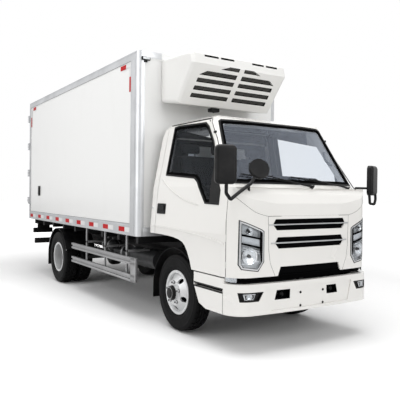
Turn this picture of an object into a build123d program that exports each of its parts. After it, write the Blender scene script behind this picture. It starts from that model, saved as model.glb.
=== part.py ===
from build123d import *
import math
import os

# A light refrigerated truck: a tilting cab ahead of the front axle, a ladder chassis with twin rear wheels,
# and an insulated box with a cooling unit over the cab. Millimetres. +X is forward, +Y is left, +Z is up.
# The origin is on the ground, under the middle of the whole vehicle.

# ---------------------------------------------------------------- overall sizes
overall_length = 5995.0
wheelbase = 3360.0
front_overhang = 1085.0

front_x = overall_length / 2
rear_x = -overall_length / 2
front_axle_x = front_x - front_overhang
rear_axle_x = front_axle_x - wheelbase

# ---------------------------------------------------------------- clearances
seat_gap = 0.3  # between a fitted piece and its seat
panel_gap = 6.0  # shut line around a door
running_gap = 0.6  # between a spindle and its hub

# ---------------------------------------------------------------- wheels and tyres
tyre_diameter = 775.0
tyre_width = 200.0
rim_flange_diameter = 440.0
bead_diameter = 406.0
rim_width = 152.0
disc_offset = 117.0  # wheel centre plane to the bolting face of its disc
disc_thickness = 12.0
front_wheel_y = 720.0
rear_outer_wheel_y = 845.0
hub_radius = 72.0
hub_proud = 52.0
stud_circle = 208.0
wheel_nut_radius = 14.0
wheel_nut_height = 22.0
wheel_nuts = 5
hand_hole_radius = 26.0
hand_hole_circle = 300.0

wheel_z = tyre_diameter / 2
rear_inner_wheel_y = rear_outer_wheel_y - 2 * disc_offset
rear_disc_y = rear_outer_wheel_y - disc_offset

# ---------------------------------------------------------------- chassis frame
rail_height = 180.0
rail_flange = 65.0
rail_wall = 8.0
rail_outer_y = 350.0
rail_bottom_z = 560.0
rail_front_setback = 180.0  # behind the bumper's front
rail_rear_inset = 95.0  # ahead of the rearmost point
cross_member_length = 90.0
cross_member_height = 110.0
rail_top_z = rail_bottom_z + rail_height
rail_front_x = front_x - rail_front_setback
rail_rear_x = rear_x + rail_rear_inset
# distance of each cross-member behind the rails' front end
cross_member_setbacks = (60.0, 2150.0, 2900.0, 3560.0, 4265.0, 5640.0)
bumper_bracket_height = 110.0
bumper_bracket_z = 520.0

# cab tilt pivot
tilt_setback = 110.0  # behind the bumper's front
tilt_z = 720.0
tilt_boss_radius = 20.0
tilt_pin_radius = 12.0
tilt_lug_y = 250.0
tilt_lug_width = 44.0
tilt_x = front_x - tilt_setback

# ---------------------------------------------------------------- axles and springs
spring_y = rail_outer_y - rail_flange / 2
spring_width = 60.0
front_spring_seat_z = 430.0
rear_spring_seat_z = wheel_z + 62.0
front_spring_length = 1150.0
rear_spring_length = 1250.0
front_spring_thickness = 40.0
rear_spring_thickness = 55.0
spring_hanger_radius = 26.0
kingpin_y = 640.0
kingpin_eye_radius = 32.0
kingpin_eye_height = 80.0
knuckle_yoke_height = 26.0
spindle_radius = 28.0
front_beam_width = 70.0
front_beam_height = 70.0
front_beam_drop = 40.0
rear_axle_tube_radius = 58.0
rear_axle_bulge_radius = 175.0
rear_axle_bulge_width = 190.0
rear_stub_radius = 40.0

# ---------------------------------------------------------------- cab
bumper_proud = 28.0
cab_depth = 1542.0
cab_bottom_z = 665.0
cab_wall = 50.0
cab_half_width = 855.0
cab_corner_radius = 200.0
cab_front_bow = 30.0
arch_top_z = 955.0
waist_z = 1030.0
shoulder_z = 1190.0
shoulder_half_width = 842.0
belt_z = 1440.0
belt_half_width = 820.0
roof_side_z = 2060.0
roof_side_half_width = 694.0
roof_z = 2160.0
screen_base_z = 1455.0
screen_base_setback = 112.0  # behind the cab's front face
screen_slope = 0.63  # set back per unit of height
screen_bow = 112.0  # how far its edge lies behind its middle
screen_base_half_width = 771.0
screen_top_z = 2078.0
screen_top_half_width = 648.0
nose_z = 1300.0

cab_front_x = front_x - bumper_proud
cab_back_x = cab_front_x - cab_depth
screen_base_x = cab_front_x - screen_base_setback

# cab doors
door_front_setback = 172.0  # from the cab's front face
door_rear_inset = 108.0  # from the cab's back face
door_head_z = 2103.0
door_hinge_heights = (770.0, 1000.0)
door_barrel_radius = 4.0
door_hinge_y = 846.0
door_barrel_height = 60.0
door_front_x = cab_front_x - door_front_setback
door_rear_x = cab_back_x + door_rear_inset
glass_thickness = 6.0
glass_inset = 8.0

# ---------------------------------------------------------------- box
cab_to_box = 90.0
box_half_width = 972.0
box_bottom_z = 905.0
box_top_z = 2916.0
box_wall = 80.0
box_floor_thickness = 110.0
box_roof_thickness = 85.0
bottom_rail_height = 130.0
top_rail_height = 85.0
corner_post = 80.0
corner_post_radius = 62.0
rear_post = 60.0
door_gear_proud = 40.0
box_door_thickness = 80.0
box_door_gap = 6.0
box_meeting_gap = 10.0
box_hinge_out = 14.0  # hinge line outside the box's side
box_hinge_back = 26.0  # hinge line behind the door's face
bearer_height = 85.0
bearer_width = 60.0
bearer_half_length = 900.0
sill_height = box_bottom_z - bearer_height - rail_top_z

box_front_x = cab_back_x - cab_to_box
box_rear_x = rear_x + door_gear_proud
box_hinge_x = box_rear_x - box_hinge_back
box_hinge_y = box_half_width + box_hinge_out

# ---------------------------------------------------------------- cooling unit
unit_middle_y = -70.0
unit_half_width = 620.0
unit_wall = 22.0
unit_corner_radius = 40.0
unit_nose_length = 652.5
# side view: distance ahead of the box, height
unit_side_view = ((0.3, 2375.0), (352.5, 2325.0), (unit_nose_length, 2695.0), (627.5, 2800.0),
                  (562.5, 2828.0), (0.3, 2860.0))
# louvres each side of the middle: middle height, half height, inner y, outer y at the foot, outer y at the top
louvre_table = (
    (2683.0, 15.0, 32.0, 262.0, 160.0),
    (2618.0, 20.0, 32.0, 495.0, 415.0),
    (2552.0, 19.0, 32.0, 500.0, 497.0),
    (2481.0, 19.0, 32.0, 502.0, 499.0),
    (2412.0, 19.0, 32.0, 504.0, 501.0),
)
# thin slots in the top band: inner y, outer y on each side
band_slot_z = (2772.0, 2792.0)
band_slots = ((-265.0, -95.0), (-470.0, -297.0), (145.0, 305.0), (338.0, 495.0))

os.makedirs("parts", exist_ok=True)


def save(piece, node):
    """Label one finished piece and write it to its own STEP file."""
    piece.part.label = node
    export_step(piece.part, "parts/" + node + ".step")


def side_prism(points, y_low, y_high):
    """A prism whose outline is drawn in side view, as X and Z, between two Y planes."""
    with BuildPart() as prism:
        with BuildSketch(Plane.XZ.offset(-y_high)):
            with BuildLine():
                Polyline(*points, close=True)
            make_face()
        extrude(amount=y_high - y_low)
    return prism.part


def front_prism(points, x_low, x_high):
    """A prism whose outline is drawn in front view, as Y and Z, between two X planes."""
    with BuildPart() as prism:
        with BuildSketch(Plane.YZ.offset(x_low)):
            with BuildLine():
                Polyline(*points, close=True)
            make_face()
        extrude(amount=x_high - x_low)
    return prism.part


def block(x_low, x_high, y_low, y_high, z_low, z_high):
    """A plain block between two corners."""
    with BuildPart() as solid:
        with Locations(((x_low + x_high) / 2, (y_low + y_high) / 2, (z_low + z_high) / 2)):
            Box(x_high - x_low, y_high - y_low, z_high - z_low)
    return solid.part


# ================================================================ chassis
with BuildPart() as chassis_frame:
    rail_length = rail_front_x - rail_rear_x
    for side in (-1, 1):
        # channel section, open towards the middle of the vehicle
        with BuildSketch(Plane.YZ.offset(rail_rear_x)):
            with Locations((side * (rail_outer_y - rail_flange / 2), rail_bottom_z + rail_height / 2)):
                Rectangle(rail_flange, rail_height)
            with Locations((side * (rail_outer_y - rail_flange / 2 - rail_wall),
                            rail_bottom_z + rail_height / 2)):
                Rectangle(rail_flange, rail_height - 2 * rail_wall, mode=Mode.SUBTRACT)
        extrude(amount=rail_length)
    for setback in cross_member_setbacks:
        with Locations((rail_front_x - setback, 0, rail_bottom_z + rail_height / 2)):
            Box(cross_member_length, 2 * (rail_outer_y - rail_wall), cross_member_height)
    # longitudinal sills that carry the box
    sill_front_x = box_front_x - corner_post
    for side in (-1, 1):
        with Locations(((sill_front_x + rail_rear_x) / 2, side * spring_y, rail_top_z + sill_height / 2)):
            Box(sill_front_x - rail_rear_x, rail_flange, sill_height)
    # brackets that carry the bumper
    for side in (-1, 1):
        with Locations(((rail_front_x + cab_front_x - cab_wall) / 2, side * spring_y, bumper_bracket_z)):
            Box(cab_front_x - cab_wall - rail_front_x, rail_flange, bumper_bracket_height)
        with Locations((rail_front_x - bumper_bracket_height, side * spring_y, bumper_bracket_z)):
            Box(2 * bumper_bracket_height, rail_flange, bumper_bracket_height)
    # plates and pins that carry the cab's tilt pivot
    for side in (-1, 1):
        with BuildSketch(Plane.XZ.offset(-side * spring_y - rail_flange / 2)):
            with Locations((tilt_x, tilt_z)):
                Circle(tilt_boss_radius)
            with Locations(((tilt_x + rail_front_x) / 2 - 20, tilt_z)):
                Rectangle(tilt_x - rail_front_x + 40, 2 * tilt_boss_radius)
        extrude(amount=rail_flange)
        pin_in_y = side * (tilt_lug_y - tilt_lug_width / 2 - 8)
        pin_out_y = side * spring_y
        with BuildSketch(Plane.XZ.offset(-max(pin_in_y, pin_out_y))):
            with Locations((tilt_x, tilt_z)):
                Circle(tilt_pin_radius)
        extrude(amount=abs(pin_out_y - pin_in_y))
save(chassis_frame, "chassis_frame")

with BuildPart() as leaf_springs:
    # axle x, leaf length, pack thickness, seat height
    spring_table = (
        (front_axle_x, front_spring_length, front_spring_thickness, front_spring_seat_z),
        (rear_axle_x, rear_spring_length, rear_spring_thickness, rear_spring_seat_z),
    )
    for axle_x, length, thickness, seat_z in spring_table:
        eye_z = rail_bottom_z - spring_hanger_radius
        for side in (-1, 1):
            with BuildSketch(Plane.XZ.offset(-side * spring_y - spring_width / 2)):
                with BuildLine():
                    lower = ThreePointArc((axle_x - length / 2, eye_z - thickness / 4), (axle_x, seat_z),
                                          (axle_x + length / 2, eye_z - thickness / 4))
                    upper = ThreePointArc((axle_x + length / 2, eye_z + thickness / 4),
                                          (axle_x, seat_z + thickness),
                                          (axle_x - length / 2, eye_z + thickness / 4))
                    Line(lower @ 1, upper @ 0)
                    Line(upper @ 1, lower @ 0)
                make_face()
                with Locations((axle_x - length / 2, eye_z), (axle_x + length / 2, eye_z)):
                    Circle(spring_hanger_radius)
            extrude(amount=spring_width)
save(leaf_springs, "leaf_springs")

with BuildPart() as front_axle:
    eye_bottom_z = wheel_z - kingpin_eye_height / 2
    eye_top_z = wheel_z + kingpin_eye_height / 2
    beam_end_y = kingpin_y - 1.6 * kingpin_eye_radius
    beam_flat_y = spring_y + spring_width
    beam_top_z = front_spring_seat_z - seat_gap
    beam_bottom_z = beam_top_z - front_beam_height - front_beam_drop / 2
    with BuildSketch(Plane.YZ.offset(front_axle_x - front_beam_width / 2)):
        with BuildLine():
            Polyline((-kingpin_y, eye_bottom_z), (-beam_end_y, eye_bottom_z), (-beam_flat_y, beam_bottom_z),
                     (beam_flat_y, beam_bottom_z), (beam_end_y, eye_bottom_z), (kingpin_y, eye_bottom_z),
                     (kingpin_y, eye_top_z), (beam_end_y, eye_top_z), (beam_flat_y, beam_top_z),
                     (-beam_flat_y, beam_top_z), (-beam_end_y, eye_top_z), (-kingpin_y, eye_top_z),
                     close=True)
        make_face()
    extrude(amount=front_beam_width)
    for side in (-1, 1):
        # trim the beam's end to the round kingpin eye
        with Locations((front_axle_x, side * (kingpin_y + kingpin_eye_radius), wheel_z)):
            Box(4 * kingpin_eye_radius, 2 * kingpin_eye_radius, 2 * kingpin_eye_height, mode=Mode.SUBTRACT)
        with Locations((front_axle_x, side * kingpin_y, wheel_z)):
            Cylinder(kingpin_eye_radius, kingpin_eye_height)
save(front_axle, "front_axle")

with BuildPart() as rear_axle:
    tube_end_y = rear_inner_wheel_y - tyre_width / 2 + 60
    with BuildSketch(Plane.XZ.offset(-tube_end_y)):
        with Locations((rear_axle_x, wheel_z)):
            Circle(rear_axle_tube_radius)
    extrude(amount=2 * tube_end_y)
    with BuildSketch(Plane.XZ.offset(-rear_axle_bulge_width / 2)):
        with Locations((rear_axle_x, wheel_z)):
            Circle(rear_axle_bulge_radius)
    extrude(amount=rear_axle_bulge_width)
    fillet(rear_axle.edges().filter_by(GeomType.CIRCLE).sort_by(SortBy.RADIUS)[-2:], 60)
    stub_end_y = rear_disc_y - 2 * disc_thickness - 5
    with BuildSketch(Plane.XZ.offset(-stub_end_y)):
        with Locations((rear_axle_x, wheel_z)):
            Circle(rear_stub_radius)
    extrude(amount=2 * stub_end_y)
    # spring seats between the axle tube and the springs
    for side in (-1, 1):
        seat_height = rear_spring_seat_z - seat_gap - wheel_z
        with Locations((rear_axle_x, side * spring_y, wheel_z + seat_height / 2)):
            Box(150, spring_width + 20, seat_height)
save(rear_axle, "rear_axle")


# ================================================================ wheels
def revolve_profile(profile, centre_x, centre_y, outward):
    """A turned solid: profile points are radius and distance outwards from the wheel's centre plane."""
    with BuildPart() as solid:
        with BuildSketch(Plane.XY):
            with BuildLine():
                Polyline(*[(radius, outward * out) for radius, out in profile], close=True)
            make_face()
        revolve(axis=Axis.Y)
    return solid.part.moved(Location((centre_x, centre_y, wheel_z)))


def tyre_solid(centre_x, centre_y):
    """One tyre with straight-sided flanks, shoulders and crown."""
    half = tyre_width / 2
    bead = bead_diameter / 2 + seat_gap
    flange = rim_flange_diameter / 2 + seat_gap
    heel = rim_width / 2 - seat_gap
    crown = tyre_diameter / 2
    profile = (
        (bead, -heel), (bead, heel), (flange, heel), (flange + 5, heel + 8),
        (crown - 95, half), (crown - 38, 0.97 * half), (crown - 11, 0.83 * half), (crown - 2, 0.45 * half),
        (crown, 0.0),
        (crown - 2, -0.45 * half), (crown - 11, -0.83 * half), (crown - 38, -0.97 * half), (crown - 95, -half),
        (flange + 5, -heel - 8), (flange, -heel),
    )
    return revolve_profile(profile, centre_x, centre_y, 1)


def rim_solid(centre_x, centre_y, outward):
    """One steel disc wheel; its bolting face lies disc_offset from the centre plane, on the outward side."""
    flange = rim_flange_diameter / 2
    bead = bead_diameter / 2
    half = rim_width / 2
    wall = 8.0
    face = disc_offset
    bowl = bead - wall - 8
    profile = (
        (flange, -half - 6), (flange, -half), (bead, -half), (bead, half), (flange, half), (flange, half + 6),
        (bead - wall, half + 6), (bowl, half - 18), (bowl - 45, face - 16), (bowl - 62, face),
        (hub_radius - 16, face), (hub_radius - 16, face - disc_thickness),
        (bowl - 66, face - disc_thickness), (bowl - 56, face - 26), (bead - wall - 12, half - 34),
        (bead - wall, half - 34), (bead - wall, -half - 6),
    )
    return revolve_profile(profile, centre_x, centre_y, outward)


def hand_holes(centre_x, y_low, y_high):
    """Round hand holes through a disc, as one tool solid."""
    with BuildPart() as holes:
        with BuildSketch(Plane.XZ.offset(-y_high)):
            with Locations((centre_x, wheel_z)):
                with PolarLocations(hand_hole_circle / 2, wheel_nuts, start_angle=54):
                    Circle(hand_hole_radius)
        extrude(amount=y_high - y_low)
    return holes.part


def wheel_nut_ring(centre_x, y_low, y_high):
    """The ring of wheel nuts."""
    with BuildPart() as nuts:
        with BuildSketch(Plane.XZ.offset(-y_high)):
            with Locations((centre_x, wheel_z)):
                with PolarLocations(stud_circle / 2, wheel_nuts, start_angle=90):
                    RegularPolygon(wheel_nut_radius, 6)
        extrude(amount=y_high - y_low)
    return nuts.part


def round_bar(centre_x, y_low, y_high, radius):
    """A round bar along Y at wheel height."""
    with BuildPart() as bar:
        with BuildSketch(Plane.XZ.offset(-y_high)):
            with Locations((centre_x, wheel_z)):
                Circle(radius)
        extrude(amount=y_high - y_low)
    return bar.part


front_disc_y = front_wheel_y + disc_offset
drum_radius = 156.0
drum_neck_radius = 112.0
drum_length = 45.0
drum_setback = 47.0  # behind the back of the wheel's disc
drum_wall = 14.0
knuckle_plate_y = kingpin_y + kingpin_eye_radius + 3
knuckle_plate_thickness = 20.0
spindle_end_y = front_disc_y - 6

for side, hand in ((1, "left"), (-1, "right")):
    # knuckle: two yokes round the axle's eye, a plate and the spindle
    with BuildPart() as steering_knuckle:
        yoke_z = kingpin_eye_height / 2 + seat_gap + knuckle_yoke_height / 2
        for up in (-1, 1):
            with Locations((front_axle_x, kingpin_y, wheel_z + up * yoke_z)):
                Cylinder(kingpin_eye_radius, knuckle_yoke_height)
            with Locations((front_axle_x, (kingpin_y + knuckle_plate_y) / 2 + 5, wheel_z + up * yoke_z)):
                Box(1.5 * kingpin_eye_radius, knuckle_plate_y - kingpin_y + 10, knuckle_yoke_height)
        with Locations((front_axle_x, knuckle_plate_y + knuckle_plate_thickness / 2, wheel_z)):
            Box(3 * kingpin_eye_radius, knuckle_plate_thickness, 2 * yoke_z + knuckle_yoke_height)
        add(round_bar(front_axle_x, knuckle_plate_y, spindle_end_y, spindle_radius))
        # steering arm, reaching back and inwards
        with BuildSketch(Plane.XY.offset(wheel_z - yoke_z - knuckle_yoke_height / 2)):
            with BuildLine():
                Polyline((front_axle_x + 18, kingpin_y), (front_axle_x - 18, kingpin_y + 26),
                         (front_axle_x - 175, kingpin_y - 22), (front_axle_x - 175, kingpin_y - 52),
                         (front_axle_x - 18, kingpin_y - 20), close=True)
            make_face()
        extrude(amount=knuckle_yoke_height)
        if side < 0:
            mirror(about=Plane.XZ, mode=Mode.REPLACE)
    save(steering_knuckle, "steering_knuckle_" + hand)

    with BuildPart() as front_wheel:
        add(rim_solid(front_axle_x, front_wheel_y, 1))
        add(hand_holes(front_axle_x, front_wheel_y + rim_width / 4, front_disc_y + 1), mode=Mode.SUBTRACT)
        # brake drum and hub
        disc_back_y = front_disc_y - disc_thickness
        drum_high_y = disc_back_y - drum_setback
        drum_low_y = drum_high_y - drum_length
        add(round_bar(front_axle_x, drum_low_y, drum_high_y, drum_radius))
        add(round_bar(front_axle_x, drum_low_y - 1, drum_high_y - drum_wall, drum_radius - drum_wall),
            mode=Mode.SUBTRACT)
        add(round_bar(front_axle_x, drum_high_y, disc_back_y, drum_neck_radius))
        add(round_bar(front_axle_x, drum_low_y, front_disc_y + hub_proud, hub_radius - 16))
        add(round_bar(front_axle_x, front_disc_y, front_disc_y + 18, hub_radius))
        add(round_bar(front_axle_x, drum_low_y - 1, spindle_end_y + 3, spindle_radius + running_gap),
            mode=Mode.SUBTRACT)
        add(wheel_nut_ring(front_axle_x, front_disc_y, front_disc_y + wheel_nut_height))
        if side < 0:
            mirror(about=Plane.XZ, mode=Mode.REPLACE)
    save(front_wheel, "front_wheel_" + hand)

    with BuildPart() as front_tyre:
        add(tyre_solid(front_axle_x, side * front_wheel_y))
    save(front_tyre, "front_tyre_" + hand)

    with BuildPart() as rear_wheels:
        add(rim_solid(rear_axle_x, rear_outer_wheel_y, -1))
        add(rim_solid(rear_axle_x, rear_inner_wheel_y, 1))
        hole_low_y = rear_disc_y - disc_offset + rim_width / 4
        hole_high_y = rear_disc_y + disc_offset - rim_width / 4
        add(hand_holes(rear_axle_x, hole_low_y, hole_high_y), mode=Mode.SUBTRACT)
        disc_back_y = rear_disc_y - disc_thickness
        drum_high_y = disc_back_y - drum_setback
        drum_low_y = drum_high_y - drum_length
        add(round_bar(rear_axle_x, drum_low_y, drum_high_y, drum_radius))
        add(round_bar(rear_axle_x, drum_low_y - 1, drum_high_y - drum_wall, drum_radius - drum_wall),
            mode=Mode.SUBTRACT)
        add(round_bar(rear_axle_x, drum_high_y, disc_back_y, drum_neck_radius))
        add(round_bar(rear_axle_x, drum_low_y, rear_disc_y + hub_proud + 40, hub_radius - 16))
        add(round_bar(rear_axle_x, rear_disc_y, rear_disc_y + 18, hub_radius))
        add(round_bar(rear_axle_x, drum_low_y - 1, stub_end_y + 3, rear_stub_radius + running_gap),
            mode=Mode.SUBTRACT)
        add(wheel_nut_ring(rear_axle_x, rear_disc_y, rear_disc_y + disc_thickness + wheel_nut_height))
        if side < 0:
            mirror(about=Plane.XZ, mode=Mode.REPLACE)
    save(rear_wheels, "rear_wheels_" + hand)

    with BuildPart() as rear_tyres:
        add(tyre_solid(rear_axle_x, side * rear_outer_wheel_y))
        add(tyre_solid(rear_axle_x, side * rear_inner_wheel_y))
    save(rear_tyres, "rear_tyres_" + hand)


# ================================================================ chassis equipment
engine_length = 620.0
engine_width = 470.0
engine_height = 430.0
engine_bottom_z = 480.0
engine_front_setback = 1000.0
gearbox_length = 640.0
gearbox_radius = 130.0
shaft_radius = 38.0
engine_front_x = front_x - engine_front_setback
engine_rear_x = engine_front_x - engine_length
with BuildPart() as engine_block:
    add(block(engine_rear_x, engine_front_x, -engine_width / 2, engine_width / 2,
              rail_top_z + 10, engine_bottom_z + engine_height))
    add(block(engine_rear_x, engine_front_x, -rail_outer_y + rail_flange + seat_gap, rail_outer_y - rail_flange - seat_gap,
              engine_bottom_z, rail_top_z + 10))
save(engine_block, "engine_block")

with BuildPart() as driveline:
    gearbox_z = engine_bottom_z + 20
    gearbox_rear_x = engine_rear_x - gearbox_length
    with BuildSketch(Plane.YZ.offset(engine_rear_x - seat_gap)):
        with Locations((0, gearbox_z)):
            Circle(gearbox_radius)
    with BuildSketch(Plane.YZ.offset(gearbox_rear_x)):
        with Locations((0, gearbox_z)):
            Circle(gearbox_radius * 0.55)
    loft()
    shaft_end_x = rear_axle_x + rear_axle_bulge_radius + seat_gap
    with BuildSketch(Plane(origin=(gearbox_rear_x + 1, 0, gearbox_z),
                           x_dir=(0, 1, 0),
                           z_dir=(shaft_end_x - gearbox_rear_x, 0, wheel_z - gearbox_z))):
        Circle(shaft_radius)
    extrude(amount=math.hypot(gearbox_rear_x - shaft_end_x, gearbox_z - wheel_z) - 4)
save(driveline, "driveline")

tank_length = 700.0
tank_height = 330.0
tank_width = 380.0
tank_top_z = rail_bottom_z + rail_height - 15
tank_front_setback = 560.0  # behind the cab's back face
battery_length = 420.0
battery_height = 300.0
battery_width = 300.0
battery_front_setback = 1330.0
silencer_radius = 115.0
silencer_length = 620.0
silencer_front_setback = 420.0
tank_front_x = cab_back_x - tank_front_setback
with BuildPart() as fuel_tank:
    add(block(tank_front_x - tank_length, tank_front_x, rail_outer_y + seat_gap,
              rail_outer_y + tank_width, tank_top_z - tank_height, tank_top_z))
    fillet(fuel_tank.edges().filter_by(Axis.X), 60)
save(fuel_tank, "fuel_tank")

battery_front_x = cab_back_x - battery_front_setback
with BuildPart() as battery_box:
    add(block(battery_front_x - battery_length, battery_front_x, rail_outer_y + seat_gap,
              rail_outer_y + battery_width, tank_top_z - battery_height, tank_top_z))
    fillet(battery_box.edges().filter_by(Axis.Z), 15)
save(battery_box, "battery_box")

with BuildPart() as silencer:
    silencer_y = -(rail_outer_y + seat_gap + silencer_radius + 20)
    silencer_z = rail_bottom_z + 20
    silencer_front_x = cab_back_x - silencer_front_setback
    with BuildSketch(Plane.YZ.offset(silencer_front_x - silencer_length)):
        with Locations((silencer_y, silencer_z)):
            Circle(silencer_radius)
    extrude(amount=silencer_length)
    for back in (0.2, 0.8):
        with Locations((silencer_front_x - back * silencer_length, silencer_y / 2 - (rail_outer_y + seat_gap) / 2,
                        silencer_z + 40)):
            Box(30, abs(silencer_y) - rail_outer_y - seat_gap, 90)
    with BuildSketch(Plane.YZ.offset(silencer_front_x - silencer_length - 700)):
        with Locations((silencer_y, silencer_z)):
            Circle(32)
    extrude(amount=720)
save(silencer, "silencer")

guard_y = 950.0
guard_bar_thickness = 25.0
guard_front_setback = 170.0  # behind the cab's back face
guard_rear_gap = 265.0  # ahead of the rear tyre
guard_top_bar = (600.0, 640.0)
guard_bottom_bar = (400.0, 430.0)
guard_front_x = cab_back_x - guard_front_setback
guard_rear_x = rear_axle_x + wheel_z + guard_rear_gap
with BuildPart() as side_guards:
    guard_length = guard_front_x - guard_rear_x
    for side in (-1, 1):
        y_out = side * guard_y
        y_in = side * (guard_y - guard_bar_thickness)
        for z_low, z_high in (guard_top_bar, guard_bottom_bar):
            add(block(guard_rear_x, guard_front_x, min(y_out, y_in), max(y_out, y_in), z_low, z_high))
        # posts: front end, two hangers up to the box bearers, rear end
        post_in = side * (guard_y - 2 * guard_bar_thickness)
        for along in (0.012, 0.32, 0.68, 0.988):
            post_x = guard_rear_x + along * guard_length
            post_top_z = box_bottom_z - bearer_height / 2
            add(block(post_x - 18, post_x + 18, min(y_in, post_in), max(y_in, post_in),
                      guard_bottom_bar[0] - 12, post_top_z))
            # arm that joins the post to the bearers
            arm_in = side * (bearer_half_length + seat_gap)
            add(block(post_x - 18, post_x + 18, min(arm_in, y_in), max(arm_in, y_in),
                      post_top_z - 20, box_bottom_z - seat_gap))
save(side_guards, "side_guards")

underrun_half_width = 880.0
underrun_z = (470.0, 560.0)
underrun_setback = 60.0
with BuildPart() as rear_bar:
    bar_rear_x = rear_x + underrun_setback
    bar_front_x = bar_rear_x + 60
    add(block(bar_rear_x, bar_front_x, -underrun_half_width, underrun_half_width, *underrun_z))
    fillet(rear_bar.edges().filter_by(Axis.Y), 12)
    for side in (-1, 1):
        add(block(bar_front_x - 5, bar_front_x + 45, side * spring_y - 35, side * spring_y + 35,
                  underrun_z[0] + 10, rail_bottom_z - seat_gap))
save(rear_bar, "rear_bar")

lamp_half_width = 900.0
rear_lamp_length = 330.0
rear_lamp_z = (655.0, 735.0)
with BuildPart() as rear_lamps:
    lamp_rear_x = rear_x + 50
    for side in (-1, 1):
        lamp_low_y = min(side * lamp_half_width, side * (lamp_half_width - rear_lamp_length))
        add(block(lamp_rear_x, lamp_rear_x + 45, lamp_low_y, lamp_low_y + rear_lamp_length, *rear_lamp_z))
        # bracket up to the rear sill
        add(block(lamp_rear_x + 45, lamp_rear_x + 75, lamp_low_y + 60, lamp_low_y + rear_lamp_length - 60,
                  rear_lamp_z[0], box_bottom_z - seat_gap))
save(rear_lamps, "rear_lamps")

# mudguards: an arched sheet over each wheel, with a flap that hangs behind it
front_guard_radius = 447.0
rear_guard_radius = 440.0
guard_sheet = 4.0
front_flap_bottom_z = 270.0
rear_flap_bottom_z = 225.0


def mudguard(axle_x, radius, start_angle, end_angle, y_low, y_high, flap_bottom_z):
    """An arched sheet about an axle, from a front angle over the top to a rear flap."""
    with BuildPart() as guard:
        with BuildSketch(Plane.XZ.offset(-y_high)):
            with BuildLine():
                outer = CenterArc((axle_x, wheel_z), radius, start_angle, end_angle - start_angle)
                inner = CenterArc((axle_x, wheel_z), radius - guard_sheet, start_angle, end_angle - start_angle)
                Line(outer @ 0, inner @ 0)
                outer_foot = (outer @ 1).X, flap_bottom_z
                inner_foot = (inner @ 1).X, flap_bottom_z
                Line(outer @ 1, outer_foot)
                Line(inner @ 1, inner_foot)
                Line(outer_foot, inner_foot)
            make_face()
        extrude(amount=y_high - y_low)
    return guard.part


front_guard_y = (600.0, 835.0)
rear_guard_y = (505.0, 950.0)
with BuildPart() as mudguards:
    for side in (-1, 1):
        front_low_y = min(side * front_guard_y[0], side * front_guard_y[1])
        rear_low_y = min(side * rear_guard_y[0], side * rear_guard_y[1])
        add(mudguard(front_axle_x, front_guard_radius, 55, 180, front_low_y,
                     front_low_y + front_guard_y[1] - front_guard_y[0], front_flap_bottom_z))
        add(mudguard(rear_axle_x, rear_guard_radius, 20, 180, rear_low_y,
                     rear_low_y + rear_guard_y[1] - rear_guard_y[0], rear_flap_bottom_z))
        # stays from the rails
        for axle_x, radius, reach_y in ((front_axle_x, front_guard_radius, front_guard_y[0]),
                                        (rear_axle_x, rear_guard_radius, rear_guard_y[0])):
            stay_x = axle_x - radius * math.sin(math.radians(50))
            stay_z = rail_top_z - 40
            reach = math.sqrt(radius ** 2 - (stay_z - wheel_z) ** 2)
            stay_low = min(side * (rail_outer_y + seat_gap), side * (reach_y + 60))
            stay_high = max(side * (rail_outer_y + seat_gap), side * (reach_y + 60))
            add(block(axle_x - reach - 22, axle_x - reach, stay_low, stay_high, stay_z - 12, stay_z + 12))
save(mudguards, "mudguards")

# ================================================================ bumper
bumper_top_z = 612.0
bumper_bottom_z = 345.0
bumper_wall = 55.0
bumper_side_top_z = 655.0
bumper_side_front_setback = 212.0
bumper_corner_radius = 200.0
bumper_half_width = 860.0
bumper_rear_setback = 680.0
bumper_bow = 30.0
bumper_rear_x = front_x - bumper_rear_setback
step_x = front_x - bumper_bow - bumper_corner_radius
# dark slot along each side, with the step behind it
step_slot_z = (534.0, 554.0)
step_slot_front_x = front_x - 222.0
# front view of the windows: inner and outer y at the foot, then at the top, and heights
fog_window = (612.0, 785.0, 562.0, 800.0, 464.0, 545.0)
right_tow_window = (-439.0, -267.0, -416.0, -265.0, 461.0, 545.0)
left_tow_window = (192.0, 337.0, 183.0, 316.0, 461.0, 541.0)
bumper_field = (-480.0, 480.0, -530.0, 530.0, 375.0, 566.0)
bumper_field_depth = 12.0
fog_lamp_setback = 20.0
plate_hole_spacing = (282.0, 118.0)
plate_hole_radius = 5.0
plate_hole_z = 445.0
plate_seat_half_width = 245.0
plate_seat_half_height = 72.0
plate_seat_depth = 17.0


def bumper_window(window, grow=0.0, side=1):
    """A window's front view as a long prism through the bumper's front."""
    foot_low, foot_high, top_low, top_high, z_low, z_high = window
    corners = ((foot_low - grow, z_low - grow), (foot_high + grow, z_low - grow), (top_high + grow, z_high + grow),
               (top_low - grow, z_high + grow))
    return front_prism([(side * y, z) for y, z in corners], step_x, front_x + 1)


def bumper_plan(inset):
    """Half-round nose plan, moved inward by inset."""
    half = bumper_half_width - inset
    radius = bumper_corner_radius - inset
    corner_y = half - radius
    nose_side_x = front_x - bumper_bow - inset
    corner_x = nose_side_x - radius
    with BuildSketch() as plan:
        with BuildLine():
            nose = ThreePointArc((nose_side_x, -corner_y), (front_x - inset, 0), (nose_side_x, corner_y))
            left = CenterArc((corner_x, corner_y), radius, 0, 90)
            right = CenterArc((corner_x, -corner_y), radius, -90, 90)
            Polyline(left @ 1, (bumper_rear_x - inset, half), (bumper_rear_x - inset, -half), right @ 0)
        make_face()
    return plan.sketch


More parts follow.
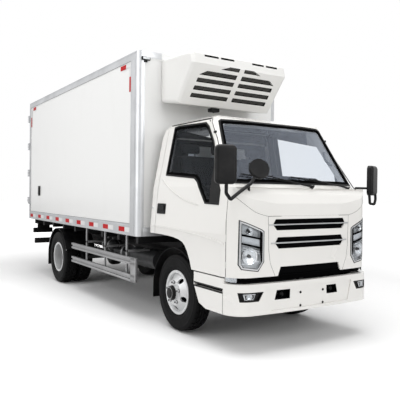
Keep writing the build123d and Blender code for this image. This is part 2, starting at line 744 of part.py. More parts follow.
with BuildPart() as bumper:
    with BuildSketch(Plane.XY.offset(bumper_bottom_z)):
        add(bumper_plan(0))
        add(bumper_plan(bumper_wall), mode=Mode.SUBTRACT)
    extrude(amount=bumper_top_z - bumper_bottom_z)
    # the sides rise behind the corners, slope up at the rear, and have a slot for the step
    for side in (-1, 1):
        wall_low_y = min(side * bumper_half_width, side * (bumper_half_width - bumper_wall))
        add(block(bumper_rear_x, front_x - bumper_side_front_setback, wall_low_y, wall_low_y + bumper_wall,
                  bumper_top_z - 20, bumper_side_top_z))
    rear_cut = side_prism(((bumper_rear_x - 50, 540), (bumper_rear_x, 540), (bumper_rear_x + 90, 382),
                           (bumper_rear_x + 205, bumper_bottom_z - 1), (bumper_rear_x - 50, bumper_bottom_z - 1)),
                          -bumper_half_width - 1, bumper_half_width + 1)
    add(rear_cut, mode=Mode.SUBTRACT)
    add(block(bumper_rear_x + 12, step_slot_front_x, -bumper_half_width - 1, bumper_half_width + 1, *step_slot_z),
        mode=Mode.SUBTRACT)
    # shallow field round the plate, then fog lamp and tow eye windows
    with BuildPart() as field:
        add(bumper_window(bumper_field))
        with BuildSketch(Plane.XY.offset(bumper_bottom_z - 1)):
            add(bumper_plan(bumper_field_depth))
        extrude(amount=bumper_top_z - bumper_bottom_z + 2, mode=Mode.SUBTRACT)
    add(field.part, mode=Mode.SUBTRACT)
    for side in (-1, 1):
        add(bumper_window(fog_window, 0.0, side), mode=Mode.SUBTRACT)
    add(bumper_window(right_tow_window), mode=Mode.SUBTRACT)
    add(bumper_window(left_tow_window), mode=Mode.SUBTRACT)
    # flat seat and holes for the number plate
    with Locations((front_x, 0, plate_hole_z)):
        Box(2 * plate_seat_depth, 2 * plate_seat_half_width, 2 * plate_seat_half_height, mode=Mode.SUBTRACT)
    with BuildSketch(Plane.YZ.offset(front_x - 2 * bumper_wall)):
        with Locations((0, plate_hole_z)):
            with GridLocations(*plate_hole_spacing, 2, 2):
                Circle(plate_hole_radius)
    extrude(amount=3 * bumper_wall, mode=Mode.SUBTRACT)
save(bumper, "bumper")

with BuildPart() as fog_lamps:
    with BuildSketch(Plane.XY.offset(bumper_bottom_z)):
        add(bumper_plan(fog_lamp_setback))
        add(bumper_plan(bumper_wall), mode=Mode.SUBTRACT)
    extrude(amount=bumper_top_z - bumper_bottom_z)
    add(bumper_window(fog_window, -seat_gap) + bumper_window(fog_window, -seat_gap, -1), mode=Mode.INTERSECT)
save(fog_lamps, "fog_lamps")

step_outer_y = bumper_half_width - bumper_wall - seat_gap
step_inner_y = 655.0
step_sheet = 16.0
step_z = (500.0, 625.0)
with BuildPart() as step_panels:
    step_rear_x = bumper_rear_x + 70
    step_front_x = step_x - 62
    for side in (-1, 1):
        # tread, back wall and a bracket to the rail
        for near_y, far_y, rear, front, low_z, high_z in (
                (step_inner_y, step_outer_y, step_rear_x, step_front_x, step_z[0], step_z[0] + step_sheet),
                (step_inner_y, step_inner_y + step_sheet, step_rear_x, step_front_x, *step_z),
                (rail_outer_y + seat_gap, step_inner_y + 5, step_rear_x + 20, step_rear_x + 70,
                 rail_bottom_z + 10, rail_bottom_z + 60)):
            add(block(rear, front, min(side * near_y, side * far_y), max(side * near_y, side * far_y),
                      low_z, high_z))
save(step_panels, "step_panels")

# ================================================================ box
wall_in = box_half_width - box_wall
floor_top_z = box_bottom_z + box_floor_thickness
roof_bottom_z = box_top_z - box_roof_thickness
portal_x = box_rear_x + box_door_thickness  # front face of the doors
rear_frame_front_x = portal_x + 20
post_rear_x = box_front_x - corner_post
with BuildPart() as box_floor:
    add(block(rear_frame_front_x, post_rear_x, -wall_in, wall_in, box_bottom_z, floor_top_z))
    bearer_count = 9
    first_bearer_x = rail_rear_x + 90
    last_bearer_x = sill_front_x - 60
    for index in range(bearer_count):
        bearer_x = first_bearer_x + index * (last_bearer_x - first_bearer_x) / (bearer_count - 1)
        add(block(bearer_x - bearer_width / 2, bearer_x + bearer_width / 2, -bearer_half_length,
                  bearer_half_length, box_bottom_z - bearer_height, box_bottom_z))
save(box_floor, "box_floor")

rail_top_of_wall_z = box_top_z - top_rail_height
for side, hand in ((1, "left"), (-1, "right")):
    with BuildPart() as box_wall_panel:
        wall_low_y = min(side * wall_in, side * (box_half_width - 4))
        add(block(rear_frame_front_x, post_rear_x, wall_low_y, wall_low_y + box_wall - 4,
                  box_bottom_z + bottom_rail_height, rail_top_of_wall_z))
    save(box_wall_panel, "box_wall_" + hand)

with BuildPart() as box_front_wall:
    add(block(post_rear_x, box_front_x - 4, -box_half_width + corner_post, box_half_width - corner_post,
              box_bottom_z, roof_bottom_z))
save(box_front_wall, "box_front_wall")

with BuildPart() as box_roof:
    add(block(rear_frame_front_x, box_front_x, -wall_in, wall_in, roof_bottom_z, box_top_z - 4))
save(box_roof, "box_roof")

with BuildPart() as box_edge_rails:
    for side in (-1, 1):
        low_y = min(side * wall_in, side * box_half_width)
        # bottom rail, then top rail
        add(block(rear_frame_front_x, post_rear_x, low_y, low_y + box_wall, box_bottom_z,
                  box_bottom_z + bottom_rail_height))
        add(block(rear_frame_front_x, post_rear_x, low_y, low_y + box_wall, rail_top_of_wall_z, box_top_z))
        # rounded front corner post
        with BuildSketch(Plane.XY.offset(box_bottom_z)):
            with Locations((box_front_x - corner_post / 2, side * (box_half_width - corner_post / 2))):
                Rectangle(corner_post, corner_post)
        extrude(amount=box_top_z - box_bottom_z)
    corner_edges = box_edge_rails.edges().filter_by(Axis.Z).group_by(Axis.X)[-1].sort_by(Axis.Y)
    fillet((corner_edges[0], corner_edges[-1]), corner_post_radius)
save(box_edge_rails, "box_edge_rails")

with BuildPart() as box_rear_frame:
    add(block(box_rear_x, rear_frame_front_x, -box_half_width, box_half_width, box_bottom_z, box_top_z))
    add(block(box_rear_x - 1, rear_frame_front_x + 1, -box_half_width + rear_post, box_half_width - rear_post,
              box_bottom_z + bottom_rail_height, box_top_z - top_rail_height), mode=Mode.SUBTRACT)
    # hinge lugs on both posts
    hinge_heights = (0.1, 0.37, 0.63, 0.9)
    door_low_z = box_bottom_z + bottom_rail_height + box_door_gap
    door_high_z = box_top_z - top_rail_height - box_door_gap
    for side in (-1, 1):
        for share in hinge_heights:
            hinge_z = door_low_z + share * (door_high_z - door_low_z)
            for below in (-1, 1):
                with Locations((box_hinge_x, side * box_hinge_y, hinge_z + below * 45)):
                    Cylinder(11, 30)
                lug_in = side * (box_half_width - 30)
                lug_out = side * box_hinge_y
                add(block(box_hinge_x - 6, box_rear_x, min(lug_in, lug_out), max(lug_in, lug_out),
                          hinge_z + below * 45 - 15, hinge_z + below * 45 + 15))
save(box_rear_frame, "box_rear_frame")

lock_bar_radius = 13.0
lock_bar_places = (0.22, 0.78)  # share of the door's width from its hinge side
door_width = box_half_width - rear_post - box_door_gap - box_meeting_gap
for side, hand in ((1, "left"), (-1, "right")):
    with BuildPart() as box_door:
        add(block(box_rear_x, portal_x, box_meeting_gap, box_meeting_gap + door_width, door_low_z, door_high_z))
        if side < 0:
            mirror(about=Plane.XZ, mode=Mode.REPLACE)
    save(box_door, "box_door_" + hand)

    with BuildPart() as door_gear:
        bar_x = box_rear_x - 22
        for share in lock_bar_places:
            bar_y = box_meeting_gap + door_width * (1 - share)
            with Locations((bar_x, bar_y, (door_low_z + door_high_z) / 2)):
                Cylinder(lock_bar_radius, door_high_z - door_low_z - 10)
            for up in (0.03, 0.3, 0.5, 0.7, 0.97):
                guide_z = door_low_z + up * (door_high_z - door_low_z)
                add(block(bar_x - 16, box_rear_x - seat_gap, bar_y - 26, bar_y + 26, guide_z - 22, guide_z + 22))
            # lever
            lever_z = door_low_z + 0.26 * (door_high_z - door_low_z)
            add(block(box_rear_x - door_gear_proud, bar_x + 4, bar_y - 20, bar_y + 190, lever_z - 14, lever_z + 14))
        # hinge straps across the door, rolled round the hinge pin
        for share in hinge_heights:
            hinge_z = door_low_z + share * (door_high_z - door_low_z)
            strap_in_y = box_meeting_gap + door_width * 0.86
            add(block(box_hinge_x - 5, box_rear_x - seat_gap, strap_in_y, box_hinge_y, hinge_z - 26, hinge_z + 26))
            with Locations((box_hinge_x, box_hinge_y, hinge_z)):
                Cylinder(11, 52)
        if side < 0:
            mirror(about=Plane.XZ, mode=Mode.REPLACE)
    save(door_gear, "door_gear_" + hand)

# ================================================================ cooling unit
with BuildPart() as cooling_unit:
    unit_outline = [(box_front_x + ahead, height) for ahead, height in unit_side_view]
    add(side_prism(unit_outline, unit_middle_y - unit_half_width, unit_middle_y + unit_half_width))
    side_edges = cooling_unit.faces().filter_by(Axis.Y).edges()
    fillet(side_edges.filter_by(lambda edge: edge.center().X > box_front_x + 50), unit_corner_radius)
    # louvres, cut one wall deep
    with BuildPart() as louvres:
        for middle_z, half, inner_y, foot_y, top_y in louvre_table:
            for side in (-1, 1):
                corners = ((inner_y, middle_z - half), (foot_y, middle_z - half), (top_y, middle_z + half),
                           (inner_y, middle_z + half))
                add(front_prism([(unit_middle_y + side * y, z) for y, z in corners],
                                box_front_x + unit_wall, box_front_x + 2 * unit_nose_length))
        for low_y, high_y in band_slots:
            add(block(box_front_x + unit_wall, box_front_x + 2 * unit_nose_length, unit_middle_y + low_y,
                      unit_middle_y + high_y, *band_slot_z))
        core_outline = ((box_front_x, 2375.0 + unit_wall), (box_front_x + 352.5 - unit_wall, 2325.0 + unit_wall),
                        (box_front_x + unit_nose_length - 1.2 * unit_wall, 2695.0), (box_front_x + 627.5 - unit_wall, 2800.0),
                        (box_front_x + 562.5 - unit_wall, 2828.0), (box_front_x, 2860.0))
        add(side_prism(core_outline, unit_middle_y - 2 * unit_half_width, unit_middle_y + 2 * unit_half_width),
            mode=Mode.SUBTRACT)
    add(louvres.part, mode=Mode.SUBTRACT)
save(cooling_unit, "cooling_unit")

# ================================================================ cab form
side_slope = (belt_half_width - roof_side_half_width) / (roof_side_z - belt_z)
pillar_corner = 62.0
screen_narrowing = (screen_base_half_width - screen_top_half_width) / (screen_top_z - screen_base_z)
form_low_z = cab_bottom_z - 40
arch_front_top = (front_axle_x + 186, arch_top_z - 12)
arch_front_foot = (front_axle_x + 352, cab_bottom_z)
# the arch's curve from its front foot to its top: ahead of the axle, height
arch_curve = ((352.0, cab_bottom_z), (315.0, 754.0), (268.0, 830.0), (228.0, 877.0), (182.0, 908.0), (110.0, 929.0),
              (12.0, 943.0), (-110.0, 951.0), (-260.0, arch_top_z))
roof_back_drop = 75.0
roof_back_run = 60.0


def upper_section(height, inset):
    """Plan outline of the cab at one height above the belt: bowed screen, pillar corners and flat sides."""
    along = inset * math.sqrt(1 + screen_slope ** 2)
    middle_x = screen_base_x - screen_slope * (height - screen_base_z) - along
    side_y = belt_half_width - side_slope * (height - belt_z) - inset
    edge_y = screen_base_half_width - screen_narrowing * (height - screen_base_z) - inset
    edge_x = middle_x - screen_bow * (edge_y / screen_base_half_width) ** 2
    corner_x = edge_x - pillar_corner
    bulge = (edge_x - 0.28 * pillar_corner, edge_y + 0.72 * (side_y - edge_y))
    with BuildSketch(Plane.XY.offset(height)) as section:
        with BuildLine():
            ThreePointArc((edge_x, -edge_y), (middle_x, 0), (edge_x, edge_y))
            ThreePointArc((edge_x, edge_y), bulge, (corner_x, side_y))
            Polyline((corner_x, side_y), (cab_back_x - 50, side_y), (cab_back_x - 50, -side_y),
                     (corner_x, -side_y))
            ThreePointArc((corner_x, -side_y), (bulge[0], -bulge[1]), (edge_x, -edge_y))
        make_face()
    return section.sketch


def cab_form(inset, open_below):
    """The cab's closed outer form, with each face moved inwards by inset."""
    half = cab_half_width - inset
    radius = cab_corner_radius - inset
    face_x = cab_front_x - inset
    corner_y = half - radius
    nose_side_x = face_x - cab_front_bow
    corner_x = nose_side_x - radius
    with BuildPart() as form:
        # below the belt: upright sides, rounded corners and a bowed front
        with BuildSketch(Plane.XY.offset(form_low_z - 60)):
            with BuildLine():
                nose = ThreePointArc((nose_side_x, -corner_y), (face_x, 0), (nose_side_x, corner_y))
                left = CenterArc((corner_x, corner_y), radius, 0, 90)
                right = CenterArc((corner_x, -corner_y), radius, -90, 90)
                Polyline(left @ 1, (cab_back_x - 50, half), (cab_back_x - 50, -half), right @ 0)
            make_face()
        extrude(amount=belt_z - inset - form_low_z + 60)
        # above the belt: raked screen and sides that lean in
        add(upper_section(nose_z, inset))
        add(upper_section(roof_z + 60, inset))
        loft(ruled=True)
        # side view: back wall, roof and nose
        floor_z = form_low_z - 70 if open_below else cab_bottom_z + inset
        arch_z = floor_z if open_below else arch_top_z + inset
        back = cab_back_x + inset
        with BuildSketch(Plane.XZ.offset(-cab_half_width - 10)):
            with BuildLine():
                outline = [
                    (back, arch_z), (back, roof_z - roof_back_drop - 110 - inset / 2),
                    (back + roof_back_run, roof_z - roof_back_drop - inset),
                    (back + roof_back_run + 170, roof_z - 10 - inset), (front_axle_x + 60, roof_z - inset),
                    (front_axle_x + 330, roof_z - 18 - inset), (front_axle_x + 520, roof_z - 72 - inset),
                    (screen_base_x + 60, screen_base_z - 6 - inset), (screen_base_x + 18, screen_base_z - 20 - inset),
                    (cab_front_x - 50 - inset, nose_z + 78 - inset / 2), (cab_front_x - 12 - inset, nose_z),
                    (cab_front_x + 5 - inset, floor_z),
                ]
                if not open_below:
                    outline += [(front_axle_x + ahead, height) for ahead, height in arch_curve]
                Polyline(*outline, close=True)
            make_face()
        extrude(amount=2 * cab_half_width + 20, mode=Mode.INTERSECT)
        # front view: waist, belt and roof edges
        with BuildSketch(Plane.YZ.offset(cab_back_x - 60)):
            with BuildLine():
                right_side = [
                    (0, roof_z + 6 - inset), (420, roof_z - 6 - inset), (575, roof_z - 22 - inset),
                    (650 - inset, roof_z - 52 - inset / 2), (roof_side_half_width - inset, roof_side_z),
                    (belt_half_width - inset, belt_z), (shoulder_half_width - inset, shoulder_z),
                    (cab_half_width - inset, waist_z), (cab_half_width - inset, form_low_z - 80),
                ]
                left_side = [(-y, z) for y, z in reversed(right_side[1:])]
                Polyline(*(right_side + left_side), close=True)
            make_face()
        extrude(amount=cab_depth + 150, mode=Mode.INTERSECT)
    return form.part


cab_outer = cab_form(0, False)
cab_inner = cab_form(cab_wall, True)
with BuildPart() as cab_shell:
    add(cab_outer)
    add(cab_inner, mode=Mode.SUBTRACT)

# windscreen opening, with a rebate for the glass, and door outlines, in the cab's own stations
screen_low_z = screen_base_z + 20
screen_flange = 38.0
pillar_depth = 88.0
glass_rebate = glass_inset + glass_thickness + seat_gap


def screen_prism(inset):
    """The windscreen's front view, with its edges moved inwards by inset, as a long prism."""
    low_y = screen_base_half_width - 6 - inset
    high_y = screen_top_half_width - inset
    top_z = screen_top_z - inset
    corners = (
        (-low_y, screen_low_z + inset / 3), (low_y, screen_low_z + inset / 3), (high_y, top_z - 14),
        (high_y - 30, top_z), (-high_y + 30, top_z), (-high_y, top_z - 14),
    )
    return front_prism(corners, screen_base_x - 620, cab_front_x + 20)


screen_region = screen_prism(0)
screen_rebate = screen_region - cab_form(glass_rebate, True)
screen_clear = screen_prism(screen_flange)

pillar_foot = (door_front_x, 1345.0)
pillar_knee = (door_front_x - 329, 1892.0)
pillar_head = (door_front_x - 459, 2065.0)
door_head_front_x = door_front_x - 505


def door_outline(inset):
    """Side view of a cab door, with its edges moved inwards by inset."""
    return (
        (door_rear_x + inset, arch_top_z - 60), (door_rear_x + inset, door_head_z - inset),
        (door_head_front_x - inset, door_head_z - inset), (pillar_head[0] - inset, pillar_head[1] - inset),
        (pillar_knee[0] - 1.2 * inset, pillar_knee[1]), (pillar_foot[0] - inset, pillar_foot[1]),
        (pillar_foot[0] - inset, cab_bottom_z - 60), (arch_front_foot[0] - 60, cab_bottom_z - 60),
    )


def side_band(depth, reach):
    """The outer band of the left cab side, depth thick, that follows the waist, belt and roof edges."""
    head_z = door_head_z + 60
    head_y = roof_side_half_width - side_slope * (head_z - roof_side_z)
    inner = [
        (cab_half_width - depth, cab_bottom_z - 80), (cab_half_width - depth, waist_z),
        (shoulder_half_width - depth, shoulder_z), (belt_half_width - depth, belt_z), (head_y - depth, head_z),
    ]
    return front_prism(inner + [(reach, head_z), (reach, cab_bottom_z - 80)], cab_back_x - 20, front_x + 20)


window_outline = (
    (door_rear_x + 118, 1566.0), (door_rear_x + 118, 2068.0), (door_rear_x + 208, 2078.0),
    (door_head_front_x - 45, 2062.0), (pillar_head[0] - 24, 2018.0), (pillar_knee[0] - 24, 1862.0),
    (door_front_x - 121, 1413.0), (door_front_x - 128, 1285.0), (door_front_x - 348, 1291.0),
    (door_front_x - 520, 1490.0), (door_front_x - 582, 1525.0),
)
side_reach = cab_half_width + 60
window_region = side_prism(window_outline, 500, side_reach)
door_region = side_prism(door_outline(0), 500, side_reach) & side_band(cab_wall, side_reach)
door_opening = side_prism(door_outline(-panel_gap), 500, side_reach) & side_band(cab_wall + panel_gap, side_reach)
door_openings = door_opening + mirror(door_opening, about=Plane.XZ)

with BuildPart() as glass_shell:
    add(cab_form(glass_inset, False))
    add(cab_form(glass_inset + glass_thickness, True), mode=Mode.SUBTRACT)

# ---------------------------------------------------------------- cab panels
roof_seam_z = door_head_z + panel_gap
back_seam_x = door_rear_x - panel_gap
back_header_x = cab_back_x + 330
back_window_half_width = 420.0
back_window_z = (1520.0, 1900.0)
back_window = front_prism(((-back_window_half_width, back_window_z[0]), (back_window_half_width, back_window_z[0]),
                           (back_window_half_width, back_window_z[1]),
                           (-back_window_half_width, back_window_z[1])), cab_back_x - 60, cab_back_x + 200)

# the pillars and header that frame the screen, deeper than the shell's wall
with BuildPart() as pillar_frame:
    add(cab_outer)
    add(cab_form(pillar_depth, True), mode=Mode.SUBTRACT)
    add(side_prism((
        (pillar_foot[0] - pillar_depth, belt_z - 60), (pillar_knee[0] - pillar_depth, pillar_knee[1]),
        (back_header_x, pillar_head[1] - 40), (back_header_x, roof_seam_z), (front_x, roof_seam_z),
        (front_x, belt_z - 60),
    ), -cab_half_width - 5, cab_half_width + 5), mode=Mode.INTERSECT)

with BuildPart() as cab_roof:
    add(cab_shell.part)
    add(block(cab_back_x - 10, front_x, -cab_half_width, cab_half_width, roof_seam_z, roof_z + 50),
        mode=Mode.INTERSECT)
save(cab_roof, "cab_roof")

with BuildPart() as cab_back_panel:
    add(cab_shell.part)
    add(side_prism((
        (cab_back_x - 10, arch_top_z - 5), (back_seam_x, arch_top_z - 5), (back_seam_x, roof_seam_z - 90),
        (back_header_x, roof_seam_z - 90), (back_header_x, roof_seam_z), (cab_back_x - 10, roof_seam_z),
    ), -cab_half_width - 5, cab_half_width + 5), mode=Mode.INTERSECT)
    add(door_openings, mode=Mode.SUBTRACT)
    add(back_window, mode=Mode.SUBTRACT)
save(cab_back_panel, "cab_back_panel")

# outline of the headlamps and the two air slots in front view
lamp_outline = (
    (544.0, 1060.0), (544.0, 796.0), (605.0, 714.0), (762.0, 737.0), (786.0, 779.0), (782.0, 1161.0), (570.0, 1078.0),
)
# pockets of a headlamp, in front view: signal lamp on top, main beam, dipped beam
lamp_pockets = (
    ((588.0, 1004.0), (764.0, 1040.0), (764.0, 1132.0), (588.0, 1064.0)),
    ((584.0, 926.0), (764.0, 966.0), (764.0, 1028.0), (588.0, 992.0)),
    ((572.0, 800.0), (614.0, 738.0), (752.0, 758.0), (766.0, 785.0), (764.0, 954.0), (584.0, 914.0)),
)
lamp_pocket_depth = 24.0
upper_slot = ((-424.0, 1164.0), (424.0, 1164.0), (452.0, 1117.0), (410.0, 1066.0), (-410.0, 1066.0),
              (-452.0, 1117.0))
lower_slot = ((-398.0, 1005.0), (398.0, 1005.0), (430.0, 954.0), (389.0, 905.0), (-389.0, 905.0),
              (-430.0, 954.0))
intake_slot = ((-364.0, 745.0), (364.0, 745.0), (400.0, cab_bottom_z - 20), (-400.0, cab_bottom_z - 20))
lamp_region = front_prism(lamp_outline, door_front_x + 10, front_x + 10)
lamp_regions = lamp_region + mirror(lamp_region, about=Plane.XZ)
slot_regions = []
for outline in (upper_slot, lower_slot, intake_slot):
    slot_regions.append(front_prism(outline, cab_front_x - 300, front_x + 10))

with BuildPart() as cab_front_panel:
    # below the belt the shell's own wall, above it the deeper pillars and header round the screen
    add(cab_shell.part)
    add(side_prism((
        (door_front_x + panel_gap, cab_bottom_z - 10), (door_front_x + panel_gap, belt_z + 40),
        (front_x, belt_z + 40), (front_x, cab_bottom_z - 10),
    ), -cab_half_width - 5, cab_half_width + 5), mode=Mode.INTERSECT)
    add(pillar_frame.part)
    add(door_openings, mode=Mode.SUBTRACT)
    add(screen_rebate, mode=Mode.SUBTRACT)
    add(screen_clear, mode=Mode.SUBTRACT)
    add(lamp_regions, mode=Mode.SUBTRACT)
    for region in slot_regions:
        add(region, mode=Mode.SUBTRACT)
    # hinge plates that fill the shut line beside each door
    for hinge_z in door_hinge_heights:
        for side in (-1, 1):
            plate_low_y = min(side * (belt_half_width - 25), side * (belt_half_width + 10))
            add(block(door_front_x + seat_gap, door_front_x + panel_gap + 4, plate_low_y, plate_low_y + 35,
                      hinge_z - 35, hinge_z + 35))
save(cab_front_panel, "cab_front_panel")

with BuildPart() as grille:
    for region in slot_regions:
        add(region)
    add(cab_form(14, False), mode=Mode.INTERSECT)
    add(cab_form(cab_wall - 10, True), mode=Mode.SUBTRACT)
    add(block(cab_front_x - 120, front_x, -480, 480, cab_bottom_z, nose_z), mode=Mode.INTERSECT)
save(grille, "grille")

lamp_core = cab_form(lamp_pocket_depth, True)
with BuildPart() as headlights:
    add(cab_shell.part)
    add(lamp_regions, mode=Mode.INTERSECT)
    for pocket in lamp_pockets:
        pocket_region = front_prism(pocket, door_front_x + 10, front_x + 10) - lamp_core
        add(pocket_region, mode=Mode.SUBTRACT)
        add(mirror(pocket_region, about=Plane.XZ), mode=Mode.SUBTRACT)
save(headlights, "headlights")

with BuildPart() as cab_glass:
    add(glass_shell.part)
    add(screen_region, mode=Mode.INTERSECT)
    add(door_openings, mode=Mode.SUBTRACT)
    add(block(cab_back_x + glass_inset, cab_back_x + glass_inset + glass_thickness, -back_window_half_width,
              back_window_half_width, *back_window_z))
save(cab_glass, "cab_glass")

for side, hand in ((1, "left"), (-1, "right")):
    with BuildPart() as cab_door:
        add(cab_shell.part)
        add(door_region, mode=Mode.INTERSECT)
        add(window_region, mode=Mode.SUBTRACT)
        # the rear edge leans inwards so that it clears the pillar as it swings
        rear_zone = block(door_rear_x - 1, door_rear_x + 14, 500, side_reach, arch_top_z - 70, door_head_z + 5)
        add(rear_zone - side_band(cab_wall / 2, side_reach), mode=Mode.SUBTRACT)
        # hinge barrels in the shut line
        for hinge_z in door_hinge_heights:
            with Locations((door_front_x, door_hinge_y, hinge_z)):
                Cylinder(door_barrel_radius, door_barrel_height)
        if side < 0:
            mirror(about=Plane.XZ, mode=Mode.REPLACE)
    save(cab_door, "cab_door_" + hand)

    with BuildPart() as door_glass:
        add(glass_shell.part)
        add(window_region, mode=Mode.INTERSECT)
        if side < 0:
            mirror(about=Plane.XZ, mode=Mode.REPLACE)
    save(door_glass, "door_glass_" + hand)

# floor: high over the wheels, low in front for the feet, with two lugs round the tilt pins
floor_thickness = 35.0
footwell_z = 800.0
footwell_rear_x = front_axle_x + 300
floor_edge_y = cab_half_width - cab_wall - panel_gap
with BuildPart() as cab_floor:
    floor_outline = (
        (cab_back_x + cab_wall + seat_gap, arch_top_z), (arch_front_top[0] - 60, arch_top_z),
        (footwell_rear_x, footwell_z), (cab_front_x, footwell_z), (cab_front_x, footwell_z + floor_thickness),
        (footwell_rear_x + 20, footwell_z + floor_thickness),
        (arch_front_top[0] - 40, arch_top_z + floor_thickness),
        (cab_back_x + cab_wall + seat_gap, arch_top_z + floor_thickness),
    )
    add(side_prism(floor_outline, -cab_half_width, cab_half_width))
    add(cab_form(cab_wall + seat_gap, True), mode=Mode.INTERSECT)
    for side in (-1, 1):
        strip_low_y = min(side * floor_edge_y, side * cab_half_width)
        add(block(back_seam_x - panel_gap, door_front_x + panel_gap, strip_low_y,
                  strip_low_y + cab_half_width - floor_edge_y, footwell_z - 5, arch_top_z + 2 * floor_thickness),
            mode=Mode.SUBTRACT)
        lug_low_y = side * tilt_lug_y - tilt_lug_width / 2
        with BuildSketch(Plane.XZ.offset(-lug_low_y - tilt_lug_width)):
            with Locations((tilt_x, tilt_z)):
                Circle(tilt_boss_radius)
            with Locations((tilt_x - tilt_boss_radius / 2, (tilt_z + footwell_z) / 2)):
                Rectangle(tilt_boss_radius, footwell_z - tilt_z + 10)
            with Locations((tilt_x, tilt_z)):
                Circle(tilt_pin_radius + seat_gap, mode=Mode.SUBTRACT)
        extrude(amount=tilt_lug_width)
save(cab_floor, "cab_floor")

# ---------------------------------------------------------------- cab interior
seat_base_top_z = 1330.0
seat_front_x = front_axle_x + 130
seat_back_x = cab_back_x + cab_wall + 60
# centre of each seat and its half width
seat_table = ((395.0, 230.0), (-270.0, 350.0))
with BuildPart() as seats:
    floor_z = arch_top_z + floor_thickness + seat_gap
    for centre_y, half_width in seat_table:
        with BuildSketch(Plane.XZ.offset(-centre_y - half_width)):
            with BuildLine():
                Polyline((seat_back_x + 60, floor_z), (seat_front_x - 80, floor_z),
                         (seat_front_x, seat_base_top_z - 150), (seat_front_x - 20, seat_base_top_z),
                         (seat_back_x + 190, seat_base_top_z - 25), (seat_back_x + 110, seat_base_top_z + 590),
                         (seat_back_x, seat_base_top_z + 590), (seat_back_x + 20, seat_base_top_z - 100),
                         close=True)
            make_face()
        extrude(amount=2 * half_width)
save(seats, "seats")

wheel_tilt = 38.0
steering_radius = 215.0
steering_centre = (front_axle_x + 440, 400.0, 1400.0)
with BuildPart() as dashboard:
    dash_front_x = screen_base_x - 145
    dash_rear_x = screen_base_x - 330
    dash_side_y = belt_half_width - cab_wall - 8
    add(side_prism(((dash_rear_x, 1080), (dash_front_x, 1040), (dash_front_x + 20, 1400),
                    (dash_rear_x + 40, 1440), (dash_rear_x - 30, 1390)), -dash_side_y, dash_side_y))
    add(cab_form(pillar_depth + seat_gap, True), mode=Mode.INTERSECT)
    # column and rim
    wheel_plane = Plane(origin=steering_centre, x_dir=(0, 1, 0),
                        z_dir=(-math.sin(math.radians(wheel_tilt)), 0, math.cos(math.radians(wheel_tilt))))
    with BuildSketch(wheel_plane.offset(-290)):
        Circle(30)
    extrude(amount=285)
    with BuildSketch(wheel_plane.offset(-12)):
        Circle(48)
        Rectangle(2 * steering_radius, 34)
        Circle(steering_radius + 14)
        Circle(steering_radius - 14, mode=Mode.SUBTRACT)
        with Locations((0, -steering_radius / 2)):
            Rectangle(34, steering_radius)
        Rectangle(2 * steering_radius, 34)
        Circle(48)
    extrude(amount=24)
save(dashboard, "dashboard")

# ---------------------------------------------------------------- mirrors
mirror_reach_y = 1045.0


def mirror_housing(side, x, z_low, z_high):
    """A mirror housing: a crowned shell turned towards the driver, as far out as the mirrors reach."""
    with BuildPart() as housing:
        Box(mirror_thickness, mirror_width, z_high - z_low)
        fillet(housing.edges().filter_by(Axis.X), 42)
        fillet(housing.faces().sort_by(Axis.X)[-1].edges(), 30)
        fillet(housing.faces().sort_by(Axis.X)[0].edges(), 5)
    turned_shell = housing.part.rotate(Axis.Z, side * mirror_toe)
    points, _ = turned_shell.tessellate(0.1)
    reach = max(point.Y for point in points)
    return turned_shell.translate(Vector(x, side * (mirror_reach_y - reach), (z_low + z_high) / 2))


def mirror_arm(points):
    """A round bar through a row of points, with rounded bends."""
    with BuildPart() as arm:
        with BuildLine() as path:
            FilletPolyline(*points, radius=mirror_bend_radius)
        with BuildSketch(Plane(origin=path.line @ 0, z_dir=path.line % 0)):
            Circle(mirror_arm_radius)
        sweep()
    return arm.part


mirror_width = 186.0
mirror_thickness = 62.0
mirror_toe = 22.0  # degrees towards the driver
mirror_arm_radius = 11.0
mirror_bend_radius = 18.0
# side, housing middle behind the bumper's front, low z, high z
mirror_table = ((-1, 68.5, 1460.0, 1788.0), (1, 130.5, 1380.0, 1685.0))
right_arm_x = front_x - 68.5
left_arm_x = front_x - 130.5
right_arm_points = (
    (right_arm_x, -941, 1650), (right_arm_x, -941, 1385), (right_arm_x, -895, 1335), (right_arm_x - 7, -800, 1396),
    (right_arm_x - 24, -663, 1473), (right_arm_x - 44, -568, 1588),
)
right_bracket_points = ((right_arm_x - 20, -690, 1462), (right_arm_x - 36, -676, 1425), (right_arm_x - 50, -668, 1380))
left_arm_points = (
    (left_arm_x, 692, 1385), (left_arm_x, 692, 1453), (left_arm_x, 905, 1453), (left_arm_x, 922, 1296),
    (left_arm_x, 990, 1288), (left_arm_x, 1008, 1340), (left_arm_x, 990, 1600),
)
# the round mirror that looks down over the front
down_mirror_centre = (right_arm_x - 44, -562, 1600)
down_mirror_radius = 96.0
down_mirror_depth = 44.0
with BuildPart() as mirrors:
    for side, setback, low_z, high_z in mirror_table:
        add(mirror_housing(side, front_x - setback, low_z, high_z))
    for points in (right_arm_points, right_bracket_points, left_arm_points):
        add(mirror_arm(points))
    # dished back, open towards the driver
    with BuildSketch(Plane(origin=down_mirror_centre, z_dir=(-0.86, 0.3, -0.42))):
        Circle(down_mirror_radius)
    extrude(amount=down_mirror_depth / 2, both=True, taper=18)
    # the arms stand on the cab's skin
    add(cab_form(-seat_gap, False), mode=Mode.SUBTRACT)
    add(cab_front_panel.part, mode=Mode.SUBTRACT)
save(mirrors, "mirrors")
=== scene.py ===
# %% [markdown]
# A light refrigerated truck, dressed for the camera.
#
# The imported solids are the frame: they already have the right size, place and joints. This lesson gives each of
# them a finish, and adds the small things that a solid model leaves out, such as tyre tread, lamp insides,
# rubber seals, wipers and reflective tape. All lengths are metres. +X is forward, +Y is left and +Z is up.

# %% Load the frame
import math

import bmesh
import bpy
from mathutils import Matrix, Vector


